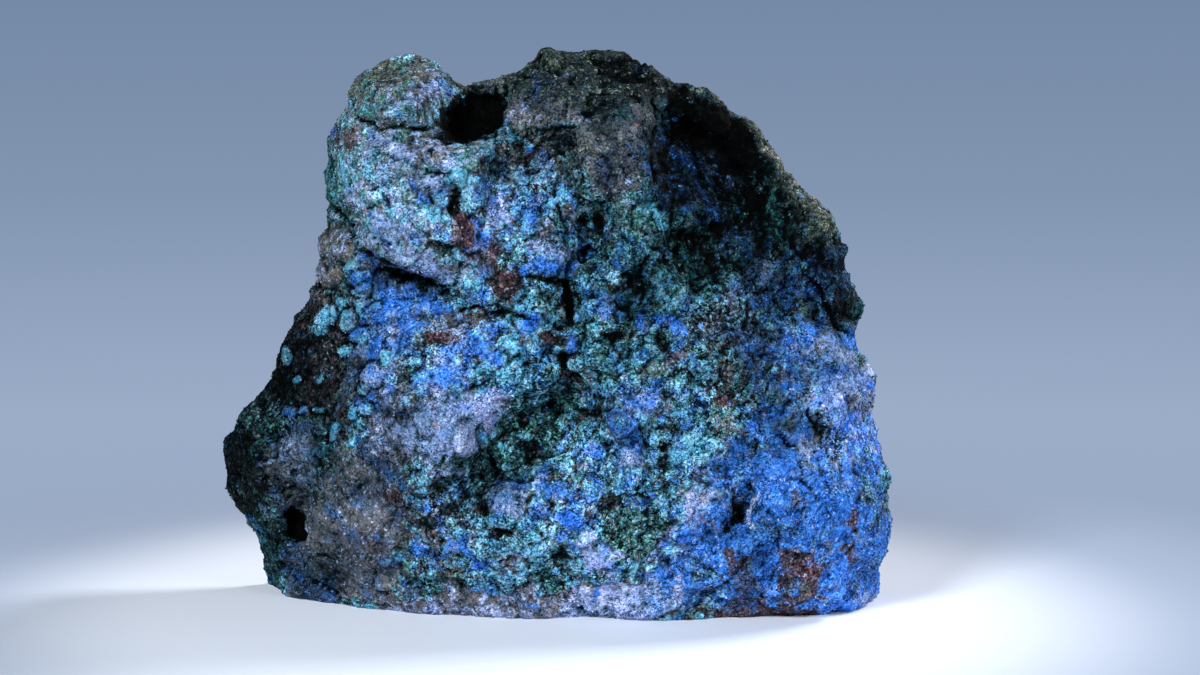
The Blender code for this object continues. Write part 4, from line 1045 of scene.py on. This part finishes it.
def crusted_rock_finish(colours, name, grain=False):
    """Quartz under mottled coats of rind, rust, green, cyan and blue, with painted
    shade and painted glints.
    """
    f, c = Finish(bpy.data.materials.new(name)), colours
    own = f.add("ShaderNodeTexCoord", None, None, "Object")
    where = f.move("MULTIPLY", own, (1 / MM,) * 3)
    wander = f.move("SUBTRACT", f.noise(where, 1.2, 2.0, 0.60, "Color"), (.5, .5, .5))
    loose = f.move("ADD", where, f.move("MULTIPLY", wander, (.8, .8, .8)))
    calm = f.share("calm")
    broken_up = 0.70 - 0.20 * calm

    def clumps(size, detail, rough, shift=None):
        place = f.move("ADD", loose, shift) if shift else loose
        return f.parts(f.noise(place, size, detail, rough, "Color"))

    clump_a = clumps(3.0, 5.0, broken_up)
    clump_b = clumps(2.4, 5.0, broken_up, (31, 17, 5))
    clump_c = clumps(3.6, 5.0, broken_up, (7, 53, 29))
    grimy = clumps(1.3, 3.0, 0.65, (13, 3, 47))
    speck, fleck, mote = f.cells(loose, 0.95), f.cells(loose, 0.44), f.cells(where, 0.27)
    speck_luck, fleck_luck, mote_luck = (
        f.parts(cells.output("Color")) for cells in (speck, fleck, mote)
    )
    fine = f.noise(where, 0.22, 2.0, 0.6)
    broad = f.noise(where, 9.0, 3.0, 0.6)
    broad_tone = f.noise(loose, 3.6, 3.0, 0.6)

    def mask(cover, clump, luck, edge=0.17, broken=0.28):
        even = (clump - 0.5) * 2.5 + 0.5
        edge_at = 1.16 - f.share(cover) * 1.32
        soft = edge + 0.16 * calm
        return (even + (luck - even) * (broken - 0.7 * broken * calm)).step(
            edge_at - soft, edge_at + soft
        )

    # Each mineral lies over those before it, and the painted white glints lie on top.
    crust = f.share("crust")
    bare = 1.0 - crust
    # Painted glints: tiny white specks that stand for light caught by the quartz, most on bare
    # quartz.
    painted_glints = (fleck_luck[0] + 0.12 * bare).step(0.89, 0.97) * grimy[2].step(0.42, 0.58)
    layers = (
        (mask("tan", clump_a[0], speck_luck[0]),
         f.between(fleck_luck[1].step(0.1, 0.9), c.tan_deep, c.tan)),
        (mask("pale", clump_a[1], speck_luck[1]),
         f.between(clump_c[2].step(0.46, 0.76), c.pale, c.white)),
        (mask("rust", clump_a[2], speck_luck[2]),
         f.between(fleck_luck[1].step(0.15, 0.85), c.rust_deep, c.rust)),
        (f.share("wash") * (0.35 + 0.65 * clump_b[0].step(0.38, 0.58)), rgba(c.soaked)),
        (mask("green", clump_b[1], fleck_luck[0]),
         f.between(fleck_luck[2].step(0.3, 1.1), c.green, c.green_pale)),
        (mask("cyan", clump_b[2], speck_luck[1]),
         f.between(clump_c[2].step(0.36, 0.74), c.cyan, c.cyan_pale)),
        (mask("blue", clump_c[0], speck_luck[2], 0.24, 0.20),
         f.between(clump_a[0].step(0.32, 0.72), c.blue, c.blue_pale)),
        (mask("dark", grimy[0], fleck_luck[1], 0.20, 0.42),
         f.between(fleck_luck[2].step(0.50, 1.0), c.dark, c.dark_pale)),
        (speck_luck[1].step(0.84, 0.95) * clump_a[2].step(0.48, 0.62) * 0.60, rgba(c.ochre)),
        (speck_luck[2].step(0.88, 0.96) * clump_b[0].step(0.52, 0.64) * 0.65,
         rgba(c.blue_pale)),
        # The painted glints, in the white quartz colour.
        (painted_glints * (0.26 + 0.22 * f.share("light") + 0.20 * bare), rgba(c.white)),
    )
    base = f.between(broad.step(0.35, 0.65), c.quartz_deep, c.quartz)
    for share, colour in layers:
        base = f.blend(share, base, colour)

    # Grains and slow changes darken it unevenly, with painted shade in the gaps
    # between grains, in small pits and in crevices.
    seam_shade = fleck.step(0.52, 0.76) * 0.7 + speck.step(0.58, 0.82) * 0.3
    speckled = 0.45 * fleck_luck[2] + 1.05 * mote_luck[0] + 1.05 * fine - 1.27
    busy = f.noise(loose, 5.5, 4.0, 0.65).step(0.38, 0.60)
    swing = (0.70 + 0.78 * busy) * (1.0 - 0.12 * crust)
    uneven = (1.12 - 0.22 * crust + speckled * swing) * (
        1.0 - seam_shade * (0.24 + 0.56 * crust) * (0.65 + 0.55 * busy)
    )
    pits = mote_luck[1].step(0.80, 0.94) * (0.25 + 0.75 * fleck_luck[0])
    uneven = uneven * (1.0 - 0.60 * pits)
    uneven = uneven * (1.0 + (broad_tone.step(0.34, 0.66) - 0.5) * (0.28 + 0.30 * crust))
    edge = f.cells(loose, 1.9, "DISTANCE_TO_EDGE")
    crevice_shade = (1.0 - edge.step(0.02, 0.12)) * grimy[1].step(0.42, 0.60)
    uneven = uneven * (1.0 - crevice_shade * (0.25 + 0.30 * crust))
    uneven = uneven - 0.62 * uneven.over(0.86)
    if grain:
        uneven = uneven * (0.70 + 0.55 * f.share("tone"))
    # Painted shade from the mesh, broken up by painted glints unless it is near full; it takes red
    # fastest, so the shaded parts turn teal.
    shade = f.share("shade")
    glint = (fleck_luck[1] * (0.5 + 0.5 * speck_luck[0])).step(0.52, 0.80)
    unshaded = 1.0 - shade * (1.0 - 0.80 * glint * shade * (1.0 - shade.step(0.90, 0.97)))
    tints = [
        gain * uneven ** spread * unshaded ** depth
        for gain, spread, depth in ((1.62, 1.55, 1.95), (1.58, 1.30, 1.50), (1.56, 1.20, 1.45))
    ]
    # The random tone and the painted shade, multiplied into the colour below.
    grey = f.add("ShaderNodeCombineColor", None, dict(enumerate(tints)))

    tall = (1.0 - speck) * 0.34 + (1.0 - fleck) * 0.34 + fine * 0.40
    height = tall * (0.24 + 0.76 * crust) + 0.4 * clump_c[1] - 0.6 * crevice_shade
    bump = {"Height": height, "Strength": 0.9, "Distance": 0.34 * MM}
    return f.close(f.add("ShaderNodeBsdfPrincipled", None, {
        "Base Color": f.blend(1.0, base, grey, "MULTIPLY"),
        "Roughness": 0.45 + 0.30 * crust + 0.15 * (fine - 0.5),
        "IOR": 1.53,
        "Specular IOR Level": 0.12 if grain else 0.03,
        "Normal": f.add("ShaderNodeBump", None, bump),
    }))


def floor_finish():
    """Pale floor that fades away into the backdrop."""
    f = Finish(bpy.data.materials.new("pale_floor"))
    where = f.add("ShaderNodeTexCoord", None, None, "Object")
    reach = f.add("ShaderNodeVectorMath", {"operation": "LENGTH"}, {0: where}, "Value")
    colour = f.between(reach.step(.070, .135), (.74, .77, .84), (.34, .39, .49))
    surface = f.add("ShaderNodeBsdfPrincipled", None, {"Base Color": colour, "Roughness": .55})
    clear = f.add("ShaderNodeBsdfTransparent")
    return f.close(
        f.add("ShaderNodeMixShader", None, {0: reach.step(.085, .20), 1: surface, 2: clear})
    )


def backdrop_world():
    """Grey-blue seen behind the rock, and a very low fill on it."""
    f = Finish(bpy.data.worlds.new("backdrop"))
    way = f.add("ShaderNodeTexCoord", None, None, "Generated")
    up = f.add("ShaderNodeSeparateXYZ", None, {"Vector": way}, "Z")
    level = f.add("ShaderNodeMapRange", None, {"Value": up, "From Min": -0.42, "From Max": 0.22})
    colour = f.add("ShaderNodeValToRGB", {"stops": BACKDROP}, {"Fac": level})
    seen = f.add("ShaderNodeBackground", None, {"Color": colour})
    fill = f.add("ShaderNodeBackground", None, {"Color": rgba(FILL_COLOUR), "Strength": 0.05})
    looking = f.add("ShaderNodeLightPath", None, None, "Is Camera Ray")
    mixed = f.add("ShaderNodeMixShader", None, {0: looking, 1: fill, 2: seen})
    return f.close(mixed, "ShaderNodeOutputWorld")


# Pieces -----------------------------------------------------------------


def keep_share(mesh, name, values):
    """Stores one number at each of the mesh's points."""
    stored = mesh.attributes.new(name, "FLOAT", "POINT")
    stored.data.foreach_set("value", np.asarray(values, np.float32))


def put_in_scene(name, mesh, material):
    """A finished piece that rides on the rock's body."""
    mesh.materials.clear()
    mesh.materials.append(material)
    piece = bpy.data.objects.new(name, mesh)
    bpy.context.scene.collection.objects.link(piece)
    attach(piece, "root")
    return piece


CRYSTAL_POINTS = np.array(
    ((1, 0, 0), (0, 1, 0), (-1, 0, 0), (0, -1, 0), (0, 0, 1), (0, 0, -1)), float
)
CRYSTAL_FACES = np.array(
    ((0, 1, 4), (1, 2, 4), (2, 3, 4), (3, 0, 4), (1, 0, 5), (2, 1, 5), (3, 2, 5), (0, 3, 5))
)


def grow_grains(name, surface, weights, shares, count, sizes, tallness, seed):
    """Closed eight-sided crystals set into the rock where weights are high.
    Each takes on the shares of the ground it grows from."""
    draw = np.random.default_rng(seed)
    corners = surface.triangles
    p0, p1, p2 = (surface.points[corner] for corner in corners.T)
    area = np.linalg.norm(np.cross(p1 - p0, p2 - p0), axis=1)
    chance = np.cumsum(area * weights[corners].mean(axis=1))
    chosen = np.searchsorted(chance, draw.random(count) * chance[-1])
    ground = corners[chosen, 0]
    u, v = draw.random(count), draw.random(count)
    fold = u + v > 1
    u[fold], v[fold] = 1 - u[fold], 1 - v[fold]
    seat = p0[chosen] + u[:, None] * (p1 - p0)[chosen] + v[:, None] * (p2 - p0)[chosen]
    up = unit(surface.normals()[ground] + GRAIN_LEAN * draw.standard_normal((count, 3)))
    side = unit(np.cross(up, draw.standard_normal((count, 3))))
    smallest, spread = sizes
    wide = smallest + spread * draw.random(count) ** GRAIN_MOSTLY_SMALL
    shape = CRYSTAL_POINTS * (1 + GRAIN_UNEVEN * (draw.random((count, 6, 3)) - 0.5))
    shape[:, :, 0] *= (wide * (0.7 + 0.6 * draw.random(count)))[:, None]
    shape[:, :, 1] *= wide[:, None]
    tall = wide * tallness * (0.6 + 0.8 * draw.random(count))
    shape[:, :, 2] *= tall[:, None]
    seat = seat + up * (GRAIN_SEAT * tall)[:, None]
    axes = np.stack((side, np.cross(up, side), up), axis=1)
    points = (seat[:, None] + shape @ axes).reshape(-1, 3)
    points[:, 2] = np.maximum(points[:, 2], GRAIN_LOWEST)
    faces = (CRYSTAL_FACES + 6 * np.arange(count)[:, None, None]).reshape(-1, 3)
    mesh = bpy.data.meshes.new(name)
    mesh.from_pydata((points * MM).tolist(), [], faces.tolist())
    keep_share(mesh, "tone", np.repeat(draw.random(count), 6))
    for share, values in shares.items():
        keep_share(mesh, share, np.repeat(values[ground], 6))
    mesh.update()
    return mesh


# What the rock body leaves for its crystal coats.
ROCK = {}


class SPECIMEN_OT_rock_body(Operator):
    """Build the rock body with its fine relief and mineral crust"""

    bl_idname = "specimen.rock_body"
    bl_label = "Rock Body"

    def execute(self, context):
        settings = context.scene.specimen
        dense = dense_copy(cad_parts[ROCK_NODE], settings.rock.pitch)
        surface = Surface(dense)
        surface.points = surface.spread(surface.points, settings.rock.smoothing)
        surface.settle()
        facing = -surface.spread(surface.normals(), rounds=25)[:, 1]
        covers, front = paint_covers(surface, facing)
        gap = raise_relief(surface, settings.rock, covers, front)
        small = hollow_share(surface, rounds=4, full=0.22)
        large = hollow_share(surface, rounds=45, full=1.5)
        # Painted shade in the creases, cracks and gaps, and in the small and large hollows.
        hollow_shade = gap + 0.55 * np.maximum(small, 0) + 0.45 * np.maximum(large, 0)
        covers["shade"] = np.clip(covers["shade"] + hollow_shade, *SHADES)
        shade_dips_light_tips(covers, front, small)
        crust = np.clip(covers["blue"] + covers["cyan"] + covers["green"] + covers["dark"], 0, 1)
        crust *= 1 - 0.65 * covers["calm"]
        light = np.clip(covers["pale"] + 0.5 * covers["cyan"], 0, 1)
        shares = dict(covers, crust=crust, light=light)
        dense.vertices.foreach_set("co", (surface.points * MM).ravel())
        for name, values in shares.items():
            keep_share(dense, name, values)
        dense.shade_smooth()
        dense.update()
        finish = crusted_rock_finish(settings.colours, "crusted_quartz_rock")
        piece = put_in_scene("rock_body", dense, finish)
        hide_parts(ROCK_NODE)
        ROCK.update(surface=surface, shares=shares, front=front)
        return {"FINISHED"}


class SPECIMEN_OT_crystal_coats(Operator):
    """Grow the coats of small crystals on the rock body"""

    bl_idname = "specimen.crystal_coats"
    bl_label = "Crystal Coats"

    def execute(self, context):
        if not ROCK:
            raise RuntimeError("build the rock body before its crystal coats")
        settings, colours = context.scene.specimen.grains, context.scene.specimen.colours
        surface, shares = ROCK["surface"], ROCK["shares"]
        unshaded = (1 - shares["shade"]) * (0.35 + 0.65 * ROCK["front"])
        unshaded *= surface.points[:, 2] > CUT_BASE
        sizes = (settings.smallest / MM, settings.spread / MM)
        for name, weights, count, tallness, seed in (
            ("azure", shares["blue"], settings.azure_count, 0.75, 101),
            ("cyan", shares["cyan"], settings.cyan_count, 0.9, 202),
            ("quartz", shares["pale"] + 0.05, settings.quartz_count, 0.9, 303),
            ("green", shares["green"] + shares["dark"], settings.green_count, 0.8, 404),
        ):
            mesh = grow_grains(
                name + "_grains", surface, weights * unshaded, shares, count, sizes,
                tallness, seed,
            )
            finish = crusted_rock_finish(colours, name + "_grain", grain=True)
            put_in_scene(name + "_grains", mesh, finish)
        return {"FINISHED"}


# Stage ------------------------------------------------------------------


def soft_light(name, place, target, width, watts, colour):
    """A square area light aimed at a point."""
    light = bpy.data.lights.new(name, "AREA")
    light.shape, light.size, light.energy, light.color = "SQUARE", width, watts, colour
    lamp = bpy.data.objects.new(name, light)
    lamp.location = place
    lamp.rotation_euler = (Vector(target) - Vector(place)).to_track_quat("-Z", "Y").to_euler()
    bpy.context.scene.collection.objects.link(lamp)


class SPECIMEN_OT_stage(Operator):
    """Set up the floor, backdrop, lights and camera"""

    bl_idname = "specimen.stage"
    bl_label = "Stage"

    def execute(self, context):
        scene, settings = context.scene, context.scene.specimen.stage
        turns = [math.tau * k / FLOOR_SIDES for k in range(FLOOR_SIDES)]
        reach = settings.floor_radius
        ring = [(reach * math.cos(turn), reach * math.sin(turn), 0) for turn in turns]
        mesh = bpy.data.meshes.new("floor")
        mesh.from_pydata(ring, [], [tuple(range(FLOOR_SIDES))])
        mesh.materials.append(floor_finish())
        floor = bpy.data.objects.new("floor", mesh)
        scene.collection.objects.link(floor)
        scene.world = backdrop_world()
        for name, place, target, width, colour in LIGHTS:
            watts = getattr(settings, name + "_power")
            soft_light(name, place, target, width, watts, colour)
        camera = bpy.data.cameras.new("camera")
        camera.lens, camera.sensor_width, camera.clip_start = settings.lens, 36, 0.01
        viewer = bpy.data.objects.new("camera", camera)
        viewer.location = [part * MM for part in EYE]
        viewer.rotation_euler = (math.radians(90 - EYE_DIP), 0, 0)
        scene.collection.objects.link(viewer)
        scene.camera = viewer
        scene.view_settings.view_transform = "Standard"
        return {"FINISHED"}


class SPECIMEN_PT_panel(Panel):
    """The specimen's settings and its building steps"""

    bl_idname = "SPECIMEN_PT_panel"
    bl_label = "Crusted Specimen"
    bl_space_type = "VIEW_3D"
    bl_region_type = "UI"
    bl_category = "Specimen"

    def draw(self, context):
        settings = context.scene.specimen
        for group in (settings.rock, settings.grains, settings.colours, settings.stage):
            box = self.layout.box()
            for name in group.__annotations__:
                box.prop(group, name)
        for operator in OPERATORS:
            self.layout.operator(operator.bl_idname)


SETTINGS = (RockSettings, GrainSettings, MineralColours, StageSettings, SpecimenSettings)
OPERATORS = (SPECIMEN_OT_rock_body, SPECIMEN_OT_crystal_coats, SPECIMEN_OT_stage)
CLASSES = (*SETTINGS, *OPERATORS, SPECIMEN_PT_panel)


def register():
    for each in CLASSES:
        bpy.utils.register_class(each)
    bpy.types.Scene.specimen = PointerProperty(type=SpecimenSettings)


def unregister():
    del bpy.types.Scene.specimen
    for each in reversed(CLASSES):
        bpy.utils.unregister_class(each)


def main():
    """Builds the pieces and the stage."""
    register()
    bpy.ops.specimen.rock_body()
    bpy.ops.specimen.crystal_coats()
    bpy.ops.specimen.stage()
    bpy.context.view_layer.update()


if __name__ == "__main__":
    main()
